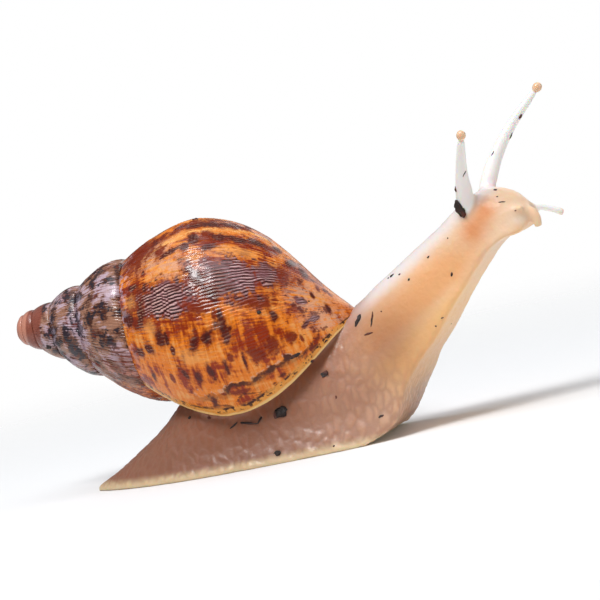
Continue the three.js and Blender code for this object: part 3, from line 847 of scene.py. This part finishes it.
def shell_piece(name, sizes):
    """One sheet of the shell, with a wall thickness inwards."""
    piece = grown(name, rolled_shell, {**SHELL_SIZES, "Finish": horn, **sizes})
    wall = piece.modifiers.new("wall", "SOLIDIFY")
    wall.thickness = WALL
    wall.offset = -1
    made_plain(piece)
    store_areas(piece.data)
    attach(piece, "root")
    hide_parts("shell")
    measure(piece)
    return piece


front_whorl = shell_piece("shell_front", {})
back_whorl = shell_piece("shell_back", BACK_SIZES)
spire = shell_piece("shell_spire", SPIRE_SIZES)

# %% [markdown]
# ## One soft skin
#
# The CAD flesh is eleven solids with thin cuts between them, as a cast model would be sawn. The real
# animal has one skin, so copies of the solids are swollen until they touch, melted into one body by a
# voxel remesh, and rubbed smooth: long strokes on the trunk, a light touch on the thin stalks and
# feelers. A remesh is used here, and not a boolean, because it also rounds every joint, as flesh does.

# %% Melt the solids together
FLESH_NODES = [
    "mantle_collar", "tail", "foot", "neck", "head", "eye_stalk_right", "eye_stalk_left",
    "feeler_right", "feeler_left", "mouth_lobe_right", "mouth_lobe_left",
]
SWOLLEN = 0.25 * MM
VOXEL = 0.42 * MM


def welded(name):
    """A copy of a CAD node with its loose triangles merged."""
    shape = bmesh.new()
    shape.from_mesh(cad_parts[name].data)
    bmesh.ops.remove_doubles(shape, verts=shape.verts, dist=WELD)
    shape.normal_update()
    return shape


def melted(names):
    """One mesh object from swollen copies of several nodes."""
    whole = bmesh.new()
    for name in names:
        shape = welded(name)
        for vertex in shape.verts:
            vertex.co += vertex.normal * SWOLLEN
        copy = mesh_from(name + "_copy", shape)
        whole.from_mesh(copy)
        bpy.data.meshes.remove(copy)
    piece = placed("skin_blank", mesh_from("skin", whole))
    remesh = piece.modifiers.new("melt", "REMESH")
    remesh.mode = "VOXEL"
    remesh.voxel_size = VOXEL
    return made_plain(piece)


def largest_part(mesh):
    """Keeps the largest connected part of a mesh, as a remesh can leave a speck inside."""
    shape = bmesh.new()
    shape.from_mesh(mesh)
    unseen, parts = set(shape.verts), []
    while unseen:
        waiting = [unseen.pop()]
        part = list(waiting)
        while waiting:
            vert = waiting.pop()
            beside = {edge.other_vert(vert) for edge in vert.link_edges} & unseen
            unseen -= beside
            part += beside
            waiting += beside
        parts.append(part)
    parts.sort(key=len)
    bmesh.ops.delete(shape, geom=[vert for part in parts[:-1] for vert in part], context="VERTS")
    shape.to_mesh(mesh)
    shape.free()
    return len(parts) - 1


blank = melted(FLESH_NODES)
print("Specks taken away:", largest_part(blank.data))
measure(blank)

# %% Rub it smooth
STROKES = 34
LIGHT_TOUCH = {"head": 0.45, "mantle_collar": 0.6}
LIMB_TOUCH = 0.07
LIMB_PASSES = 24
STEP_IN = 0.60
STEP_OUT = -0.62
SHAPING = [  # a spot where the front of the lifted body is eased, its reach, and how far forward, in mm
    ((40, 0, 21), 8.5, 2.1), ((30.5, 3.5, 14), 5.0, 1.2), ((26, 4, 5.5), 4.5, -0.9),
]
ACROSS_SHARE = 0.3  # it reaches further across the body than along it


def between(values, low, high):
    """Rises smoothly from 0 to 1 while the values go from low to high, or falls if low is above high."""
    t = np.clip((values - low) / (high - low), 0, 1)
    return t * t * (3 - 2 * t)


def near(co, spot, reach):
    """1 at a spot, fading to 0 over about the reach, in mm."""
    return np.exp(-np.square(np.linalg.norm(co - np.array(spot), axis=1) / reach))


def edges_of(mesh):
    """The edges of a mesh as pairs of vertex numbers."""
    pairs = np.empty(len(mesh.edges) * 2, np.int32)
    mesh.edges.foreach_get("vertices", pairs)
    return pairs.reshape(-1, 2)


def spread(values, pairs, times, share):
    """Moves each value towards the mean of its neighbours, again and again."""
    ends = np.concatenate([pairs[:, 0], pairs[:, 1]])
    others = np.concatenate([pairs[:, 1], pairs[:, 0]])
    count = np.maximum(np.bincount(ends, minlength=len(values)), 1)
    values = values.astype(np.float64)
    for _ in range(times):
        for axis in range(values.shape[1]):
            mean = np.bincount(ends, values[others, axis], len(values)) / count
            values[:, axis] += share * (mean - values[:, axis])
    return values


def nearest_nodes(co, names):
    """The index of the CAD node that each point lies closest to."""
    spots = [(v.co.copy(), i) for i, name in enumerate(names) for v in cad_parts[name].data.vertices]
    tree = KDTree(len(spots))
    for spot, i in spots:
        tree.insert(spot, i)
    tree.balance()
    return np.array([tree.find(p)[1] for p in co])


skin_points = points_of(blank.data).astype(np.float64)
skin_edges = edges_of(blank.data)
owner = nearest_nodes(skin_points, FLESH_NODES)
touch = np.array([
    LIMB_TOUCH if any(word in name for word in ("stalk", "feeler", "lobe")) else LIGHT_TOUCH.get(name, 1.0)
    for name in FLESH_NODES
])[owner]
limb = spread((touch <= LIMB_TOUCH)[:, None], skin_edges, 4, 0.5)[:, 0]
lobe = np.array(["lobe" in name for name in FLESH_NODES])[owner]
knob = owner == FLESH_NODES.index("feeler_right")
pale_limb = spread(((touch <= LIMB_TOUCH) & ~lobe & ~knob)[:, None], skin_edges, 30, 0.5)[:, 0]
for _ in range(LIMB_PASSES):  # in and out again by turns, so that thin limbs keep their width
    skin_points = spread(skin_points, skin_edges, 1, STEP_IN * limb)
    skin_points = spread(skin_points, skin_edges, 1, STEP_OUT * limb)
touch = spread(touch[:, None], skin_edges, 8, 0.5)[:, 0]
skin_points = spread(skin_points, skin_edges, STROKES, 0.5 * touch)
join = spread(limb[:, None], skin_edges, 30, 0.5)[:, 0]
skin_points = spread(skin_points, skin_edges, STROKES * 2, 2.0 * join * (1 - join))
for spot, reach, forward in SHAPING:
    skin_points[:, 0] += near(skin_points * (1, ACROSS_SHARE, 1) / MM, spot, reach) * forward * MM
skin_points[:, 2] = np.maximum(skin_points[:, 2], 0)
move_points(blank.data, skin_points)
measure(blank)

# %% [markdown]
# ## Grooves, rim and colour of the skin
#
# A snail's skin is a net of grooves that carry its slime. On the side of the foot the meshes are long
# and stand upright, on the neck they are small pimples, and the rim of the sole is a pale, scalloped
# hem. The grooves repeat over the surface, so Geometry Nodes cuts them into the mesh. Where each of
# these begins and ends is worked out from the place of a vertex and kept on it as a number.


# %% Map the regions of the skin
def surface_of(*pieces):
    """The faces of several pieces as one tree, to measure distances and cast lines of sight."""
    verts, faces = [], []
    for piece in pieces:
        start = len(verts)
        verts += [v.co.copy() for v in piece.data.vertices]
        faces += [[start + i for i in f.vertices] for f in piece.data.polygons]
    return BVHTree.FromPolygons(verts, faces)


FAR = 30 * MM  # the shell is not looked for beyond this
CHEEK_SPOTS = [((54.0, -7.5, 46.0), 3.6), ((58.0, -7.5, 50.4), 3.2)]  # a middle and its reach, in mm
# Painted shade on the lower neck, below the shell's lip.
HOLLOW_SHADE_SPOT = ((26.0, -4.4, 23.0), 11.5)
LIP_SPOT = ((64.9, -6.0, 46.1 / 0.7), 1.9)
TIP_SPOT = ((74.2, 5.4, 45.0), 1.5)
shell_surface = surface_of(front_whorl, back_whorl, spire)


def map_regions(mesh):
    """Keeps on each vertex how far it belongs to each region of the skin."""
    co = points_of(mesh).astype(np.float64) / MM
    x, y, z = co.T
    up_neck = np.clip(((x - 20) * 0.62 + (z - 8) * 0.785) / 50, -1, 1.2)
    from_back = ((x - 18.5) * 0.5 - (z - 33.6) * 0.86) / 17
    on_neck = between(up_neck, -0.12, 0.55)
    core = between(from_back, -0.05, 0.55) * between(from_back, 1.1, 0.6) * between(up_neck, 1.15, 0.75)
    to_shell = np.array([shell_surface.find_nearest(Vector(p) * MM, FAR)[3] or FAR for p in co]) / MM
    regions = {
        "warm": on_neck * core,
        # The back of the neck: pale skin, partly a painted wet highlight.
        "dorsal": between(from_back, 0.28, 0.05) * between(up_neck, -0.1, 0.15),
        "throat": between(from_back, 0.72, 1.0) * between(up_neck, 0.05, 0.3),
        "cheek": np.minimum(sum(near(co, *spot) for spot in CHEEK_SPOTS), 1),
        "sole_rim": between(z, 3.0, 1.2),
        # Painted shade under the shell's lip, partly the orange of the mantle showing through.
        "under_lip": np.exp(-np.square(to_shell / 6)) * between(x, 34, 20),
        "shaded": between(x, 30, -20) * between(z, 60, 34),
        # Painted shade on the lower neck, below the shell's lip.
        "hollow_shade": near(co * (1, 0.4, 1), *HOLLOW_SHADE_SPOT),
        "netted": between(up_neck, 0.42, 0.02) * between(z, 0.4, 2.0),
        "pimpled": between(up_neck, 0.1, 0.4),
        "lip_patch": near(co / (1.0, 1.0, 0.7), *LIP_SPOT),
        # Painted light: the lower front of the body is made paler.
        "painted_front_light": between(x, 14, 32) * between(z, 40, 24),
    }
    for name, share in regions.items():
        store(mesh, name, share * (1 - limb))
    store(mesh, "limb", limb)
    store(mesh, "pale_limb", pale_limb)
    store(mesh, "tip", near(co, *TIP_SPOT))


map_regions(blank.data)
print("Regions mapped on", len(blank.data.vertices), "vertices")

# %% Cut the grooves
SKIN_SIZES = {
    "Mesh width": 2.3,
    "Mesh height": 5.2,
    "Groove depth": 0.15,
    "Pimple width": 1.25,
    "Pimple height": 0.07,
    "Scallop width": 2.4,
    "Scallop height": 0.28,
    "Finish": None,
}


def cells(start, place, feature, output):
    """Cells of about size 1 over a place: the distance to their edges, or to their middles."""
    return start.node("ShaderNodeTexVoronoi", {"feature": feature}, {"Vector": place, "Scale": 1.0}, output)


def skin_tree():
    """Lowers the skin along a net of grooves and raises pimples and the rim's scallops."""
    tree, put = geometry_tree("netted skin", SKIN_SIZES)
    start = Wire(tree)
    place = start.node("GeometryNodeInputPosition").scaled(1 / MM)
    warp = noise(start, place, 5.0, 2.0, output="Color")
    warped = place.plus(warp.vector("SUBTRACT", warp, (0.5, 0.5, 0.5)).scaled(3.2))
    squeeze = joined(start, 1 / put["Mesh width"], 1 / put["Mesh width"], 1 / put["Mesh height"])
    net = cells(start, warped.vector("MULTIPLY", warped, squeeze), "DISTANCE_TO_EDGE", "Distance")
    groove = net.fall(0.0, 0.3) * recalled(start, "netted")
    dots = cells(start, warped.scaled(1 / put["Pimple width"]), "SMOOTH_F1", "Distance")
    pimples = dots.fall(0.1, 0.6) * recalled(start, "pimpled") * put["Pimple height"]
    hem = joined(start, 1 / put["Scallop width"], 1 / put["Scallop width"], 0.12)
    scallops = cells(start, warped.vector("MULTIPLY", warped, hem), "DISTANCE_TO_EDGE", "Distance")
    scallops = (scallops.ramp(0.0, 0.4) - 0.3) * recalled(start, "sole_rim") * put["Scallop height"]
    slow = (noise(start, place, 9.0, 2.0) - 0.5) * 0.5 * (1 - recalled(start, "limb"))
    height = pimples - groove * put["Groove depth"] + scallops + slow
    noted = kept(put["Geometry"], "groove", groove)
    facing = start.node("GeometryNodeInputNormal")
    parts = place.node("ShaderNodeSeparateXYZ", sockets={0: place})
    above_floor = parts.other("Z").ramp(0.0, 0.5)
    moved = start.node("GeometryNodeSetPosition", sockets={
        "Geometry": noted, "Offset": facing.scaled(height * above_floor * MM),
    })
    finish_tree(tree, moved, put["Finish"])
    return tree


SKIN_CREAM = rgb(236, 202, 168)
SKIN_WHITE = rgb(252, 247, 243)
WARM_FLESH = rgb(236, 172, 112)
MAUVE_FLESH = rgb(190, 144, 116)
RIM_CREAM = rgb(224, 200, 160)
# Painted shade under the shell's lip, partly the orange of the mantle showing through.
LIP_SHADE_AND_MANTLE = rgb(160, 90, 52)
CHEEK_GLOW = rgb(228, 140, 74)
# Pale skin on the back of the neck, partly a painted wet highlight.
DORSAL_PALE_AND_HIGHLIGHT = rgb(236, 228, 226)
THROAT_CREAM = rgb(242, 190, 122)
SHADED_FLESH = rgb(132, 84, 62)
# Painted shade on the lower neck, below the shell's lip.
HOLLOW_SHADE_FLESH = rgb(162, 100, 62)
GROOVE_TONE = rgb(150, 104, 84)
SKIN_LAYERS = [  # a colour, the region it is laid over, and how strongly
    (THROAT_CREAM, "throat", 0.8), (HOLLOW_SHADE_FLESH, "hollow_shade", 0.7), (DORSAL_PALE_AND_HIGHLIGHT, "dorsal", 0.9),
    (CHEEK_GLOW, "cheek", 0.75), (SKIN_WHITE, "lip_patch", 0.8), (LIP_SHADE_AND_MANTLE, "under_lip", 0.75),
    (RIM_CREAM, "sole_rim", 0.8),
]


def skin_finish():
    """Wet, translucent flesh that is warm inside the neck and mauve on the foot."""
    material, start = new_finish("wet skin")
    place = own_place(start).scaled(1 / MM)
    clouds = noise(start, place, 7.0, 3.0)
    grain = noise(start, place, 0.9, 3.0, 0.6)
    fray = (clouds - 0.5) * 0.5
    colour = paint(start, SKIN_CREAM)
    colour = colour.tinted(MAUVE_FLESH, (attribute(start, "netted") + fray).ramp(0.2, 1.0))
    # Painted light: paler on the lower front of the body.
    colour = colour.tinted(SKIN_CREAM, attribute(start, "painted_front_light") * 0.5)
    colour = colour.tinted(SHADED_FLESH, (attribute(start, "shaded") + fray * 0.3).ramp(0.0, 1.0) * 0.9)
    colour = colour.tinted(WARM_FLESH, (attribute(start, "warm") + fray * 0.4).ramp(0.1, 1.0) * 0.9)
    # Some of these layers are painted: shade below and under the lip, and a wet highlight on the back of
    # the neck.
    for tone, region, share in SKIN_LAYERS:
        colour = colour.tinted(tone, attribute(start, region) * share)
    colour = colour.tinted(SKIN_WHITE, (attribute(start, "pale_limb") + fray * 0.2).ramp(0.2, 0.8))
    colour = colour.tinted(CHEEK_GLOW, attribute(start, "tip") * 0.5)
    colour = colour.tinted(GROOVE_TONE, attribute(start, "groove") * 0.42)
    pores = cells(start, place.scaled(1.5), "SMOOTH_F1", "Distance")
    fleshy = 1 - attribute(start, "limb") * 0.85
    bumps = bumped(start, (pores * -0.6 + grain * 0.4) * fleshy, 0.5, 0.12 * MM)
    surface(start, {"subsurface_method": "RANDOM_WALK"}, {
        "Base Color": colour,
        "Roughness": grain.ramp(0.3, 0.7, 0.38, 0.56),
        "Subsurface Weight": 0.55,
        "Subsurface Radius": (1.0, 0.42, 0.22),
        "Subsurface Scale": 2.2 * MM,
        "Coat Weight": attribute(start, "dorsal") * 0.4 + 0.12,
        "Coat Roughness": 0.15,
        "Normal": bumps,
    })
    return material


wet_skin = skin_finish()
skin = grown("skin", skin_tree(), {**SKIN_SIZES, "Finish": wet_skin}, blank.data.copy())
bpy.data.objects.remove(blank)
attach(skin, "root")
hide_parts(*FLESH_NODES)
measure(skin)

# %% [markdown]
# ## Eye bulbs
#
# Each eye stalk ends in a smooth bulb, a little longer than it is wide, that narrows into the stalk. The
# eye itself is a faint spot in this pale animal. A bulb is a turned shape, so its outline is written
# once and swung round the stalk's own line.

# %% Turn the bulbs
BULB_CREAM = rgb(240, 206, 172)
BULB_PEACH = rgb(236, 184, 136)
BULB_RADIUS = 1.16
BULB_LENGTH = 1.12  # how much longer than wide
NECK_WIDTH = 0.30  # of the bulb's width, where it joins the stalk
BULB_SIDES = 40
BULB_RINGS = 28
STALK_LINES = {  # where the last stretch of each stalk comes from, in mm
    "eye_right": (55.6, -10.4, 62.7),
    "eye_left": (65.2, 7.6, 68.4),
}


def bulb(node, comes_from):
    """A turned bulb in the place of an eye node, narrowing towards its stalk."""
    low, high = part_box(node)
    middle = (low + high) / 2
    along = (middle - Vector(comes_from) * MM).normalized()
    aside = along.orthogonal().normalized()
    rest = along.cross(aside)
    shape = bmesh.new()
    rings = []
    for ring in range(1, BULB_RINGS):
        angle = math.pi * ring / BULB_RINGS
        height = math.cos(angle) * BULB_RADIUS * BULB_LENGTH
        neck = max(0.0, -math.cos(angle)) ** 3 * NECK_WIDTH
        wide = (math.sin(angle) + neck * (1 - math.sin(angle))) * BULB_RADIUS
        rings.append([shape.verts.new(middle + along * height * MM + (
            aside * math.cos(turn) + rest * math.sin(turn)) * wide * MM)
            for turn in (2 * math.pi * side / BULB_SIDES for side in range(BULB_SIDES))])
    for upper, lower in zip(rings, rings[1:]):
        for side in range(BULB_SIDES):
            after = (side + 1) % BULB_SIDES
            shape.faces.new((upper[side], lower[side], lower[after], upper[after]))
    for ring, end in ((rings[0], 1), (rings[-1], -1)):
        pole = shape.verts.new(middle + along * end * BULB_RADIUS * BULB_LENGTH * MM)
        for side in range(BULB_SIDES):
            corner = (pole, ring[side], ring[(side + 1) % BULB_SIDES])
            shape.faces.new(corner if end > 0 else corner[::-1])
    bmesh.ops.recalc_face_normals(shape, faces=shape.faces)
    mesh = mesh_from(node + "_bulb", shape)
    mesh.shade_smooth()
    store(mesh, "height", (points_of(mesh) - np.array(middle)) @ np.array(along) / (BULB_RADIUS * MM))
    return placed(node + "_bulb", mesh)


def bulb_finish():
    """A wet peach bulb, deeper in colour round its middle."""
    material, start = new_finish("wet eye bulb")
    place = own_place(start)
    grain = noise(start, place, 0.5 * MM, 2.0)
    height = attribute(start, "height") + (grain - 0.5) * 0.1
    colour = paint(start, BULB_CREAM)
    colour = colour.tinted(BULB_PEACH, height.ramp(-0.9, 0.1) * height.ramp(0.2, 0.9, 0.5, 0.1))
    bumps = bumped(start, grain, 0.1, 0.02 * MM)
    surface(start, {"subsurface_method": "RANDOM_WALK"}, {
        "Base Color": colour,
        "Roughness": grain.ramp(0.3, 0.7, 0.20, 0.32),
        "Subsurface Weight": 0.5,
        "Subsurface Radius": (1.0, 0.5, 0.3),
        "Subsurface Scale": 0.8 * MM,
        "Coat Weight": 0.5,
        "Coat Roughness": 0.08,
        "Normal": bumps,
    })
    return material


peach = bulb_finish()
for node, comes_from in STALK_LINES.items():
    made = bulb(node, comes_from)
    made.data.materials.append(peach)
    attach(made, "root")
    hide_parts(node)
    measure(made)

# %% [markdown]
# ## A pinch of soil
#
# The animal has just come up out of the ground, so crumbs and bits of fibre stick to its wet skin and
# to the shell. Each is set down where a line of sight first meets the animal, and laid flat there.
# Geometry Nodes puts a lump on every spot, stretches it, and makes each one jagged in its own way,
# because the noise reads the place of every vertex.

# %% Find where the crumbs stick
# Each crumb: mm right and up of the aim as the camera sees it, long and wide in mm, degrees turned.
CRUMBS = [
    (40.9, 23.3, 5.0, 2.4, 105), (39.9, 28.3, 1.6, 0.8, 70), (42.1, 32.3, 1.8, 0.35, 75),
    (56.4, 47.0, 1.2, 0.7, 60), (54.0, 42.0, 1.7, 0.6, 70), (49.3, 37.5, 1.5, 0.3, 60),
    (50.0, 28.2, 0.9, 0.7, 0), (51.7, 25.1, 1.8, 0.35, 0), (55.2, 22.9, 0.6, 0.3, 20),
    (50.4, 26.5, 0.6, 0.4, 0), (37.8, 15.8, 0.5, 0.4, 0), (32.8, 11.0, 0.7, 0.5, 30),
    (23.6, 6.3, 1.3, 0.7, 30), (25.5, 6.6, 0.6, 0.5, 0), (27.8, 5.2, 0.7, 0.6, 0),
    (38.8, 6.5, 1.1, 0.6, 80), (22.6, 5.6, 0.6, 0.5, 0), (36.4, -4.6, 0.8, 0.3, 20),
    (34.8, -6.7, 0.5, 0.4, 0), (38.7, -6.1, 0.4, 0.3, 0), (18.4, -4.9, 4.0, 0.5, 92),
    (17.6, -8.6, 3.0, 0.5, 8), (14.8, -5.2, 3.4, 1.3, 80), (20.8, -2.9, 0.5, 0.4, 0),
    (9.2, -24.9, 0.9, 0.45, 100), (20.7, -29.8, 1.6, 0.7, 10), (8.7, -37.4, 0.6, 0.5, 0),
    (6.4, -19.0, 1.8, 1.5, 30), (-4.9, -28.8, 4.2, 2.5, 35), (-28.3, -30.2, 1.0, 0.8, 0),
    (-23.3, -30.2, 1.0, 0.7, 0), (-14.1, -31.5, 8.0, 0.55, -4), (-10.2, -30.6, 2.6, 0.5, 60),
    (-17.0, -32.2, 3.0, 0.45, 40), (-5.9, -39.2, 2.2, 1.3, 10), (-10.5, -3.2, 1.0, 0.9, 0),
    (2.3, -0.3, 0.5, 0.4, 0), (-1.3, -14.3, 3.0, 1.1, 25), (3.2, -15.6, 1.4, 0.8, 30),
    (6.7, -10.5, 1.2, 0.5, 40), (-11.8, -25.6, 1.0, 0.6, 0), (-26.9, 20.6, 1.6, 0.9, 10),
    (-64.3, -12.0, 1.8, 1.2, 20), (-3.0, 12.3, 1.5, 0.5, -35),
]
CRUMB_FLATNESS = 0.6
eye_point = AIM + back * CAMERA_DISTANCE


def crumb_spots():
    """A mesh of loose points with the lie and the size of each crumb kept on them."""
    surface_met = surface_of(front_whorl, back_whorl, spire, skin)
    spots, lies, stretches = [], [], []
    for right_by, up_by, long, wide, degrees in CRUMBS:
        aim = AIM + (across * right_by + upward * up_by) * MM
        spot, normal, _, _ = surface_met.ray_cast(eye_point, (aim - eye_point).normalized())
        if spot is None:
            continue
        turn = math.radians(degrees)
        side = normal.cross(across * math.cos(turn) + upward * math.sin(turn)).normalized()
        axes = Matrix((side.cross(normal), side, normal)).transposed()
        spots.append(spot)
        lies.append(tuple(axes.to_euler()))
        stretches.append((long / 2 * MM, wide / 2 * MM, wide / 2 * MM * CRUMB_FLATNESS))
    mesh = bpy.data.meshes.new("crumb_spots")
    mesh.from_pydata(spots, [], [])
    for name, vectors in (("lie", lies), ("stretch", stretches)):
        kept_on = mesh.attributes.new(name, "FLOAT_VECTOR", "POINT")
        kept_on.data.foreach_set("vector", np.array(vectors, np.float32).ravel())
    print("Crumbs that found a place:", len(spots), "of", len(CRUMBS))
    return mesh


# %% Lay the crumbs down
SOIL_BROWN = rgb(34, 20, 16)
FIBRE_RUST = rgb(96, 42, 26)
GRIT_GREY = rgb(70, 60, 56)
CRUMB_SIZES = {"Lump detail": 3, "Jag": 0.9, "Jag size": 0.9, "Finish": None}


def crumb_tree():
    """A jagged lump on every point."""
    tree, put = geometry_tree("soil crumbs", CRUMB_SIZES)
    start = Wire(tree)
    lump = start.node("GeometryNodeMeshIcoSphere", sockets={
        "Radius": 1.0, "Subdivisions": put["Lump detail"],
    })
    stretch = recalled(start, "stretch", "FLOAT_VECTOR")
    width = stretch.node("ShaderNodeSeparateXYZ", sockets={0: stretch}).other("Y")
    noted = kept(put["Geometry"], "width", width)
    laid = noted.node("GeometryNodeInstanceOnPoints", sockets={
        "Points": noted,
        "Instance": lump,
        "Rotation": recalled(start, "lie", "FLOAT_VECTOR"),
        "Scale": stretch,
    })
    real = laid.node("GeometryNodeRealizeInstances", sockets={"Geometry": laid})
    place = start.node("GeometryNodeInputPosition")
    jag = noise(start, place, put["Jag size"] * MM, 3.0, output="Color")
    jag = jag.vector("SUBTRACT", jag, (0.5, 0.5, 0.5)).scaled(recalled(start, "width") * put["Jag"] * 2)
    moved = real.node("GeometryNodeSetPosition", sockets={"Geometry": real, "Offset": jag})
    finish_tree(tree, moved, put["Finish"])
    return tree


def soil_finish():
    """Damp, dark soil with rusty fibres."""
    material, start = new_finish("damp soil")
    place = own_place(start)
    patches = noise(start, place, 5 * MM, 2.0)
    grit = noise(start, place, 0.4 * MM, 3.0)
    colour = paint(start, SOIL_BROWN).tinted(FIBRE_RUST, patches.ramp(0.5, 0.6))
    colour = colour.tinted(GRIT_GREY, grit.ramp(0.5, 0.7))
    surface(start, None, {
        "Base Color": colour,
        "Roughness": grit.ramp(0.3, 0.7, 0.45, 0.8),
        "Normal": bumped(start, grit, 0.6, 0.1 * MM),
    })
    return material


crumbs = grown("soil_crumbs", crumb_tree(), {**CRUMB_SIZES, "Finish": soil_finish()}, crumb_spots())
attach(crumbs, "root")
measure(crumbs)
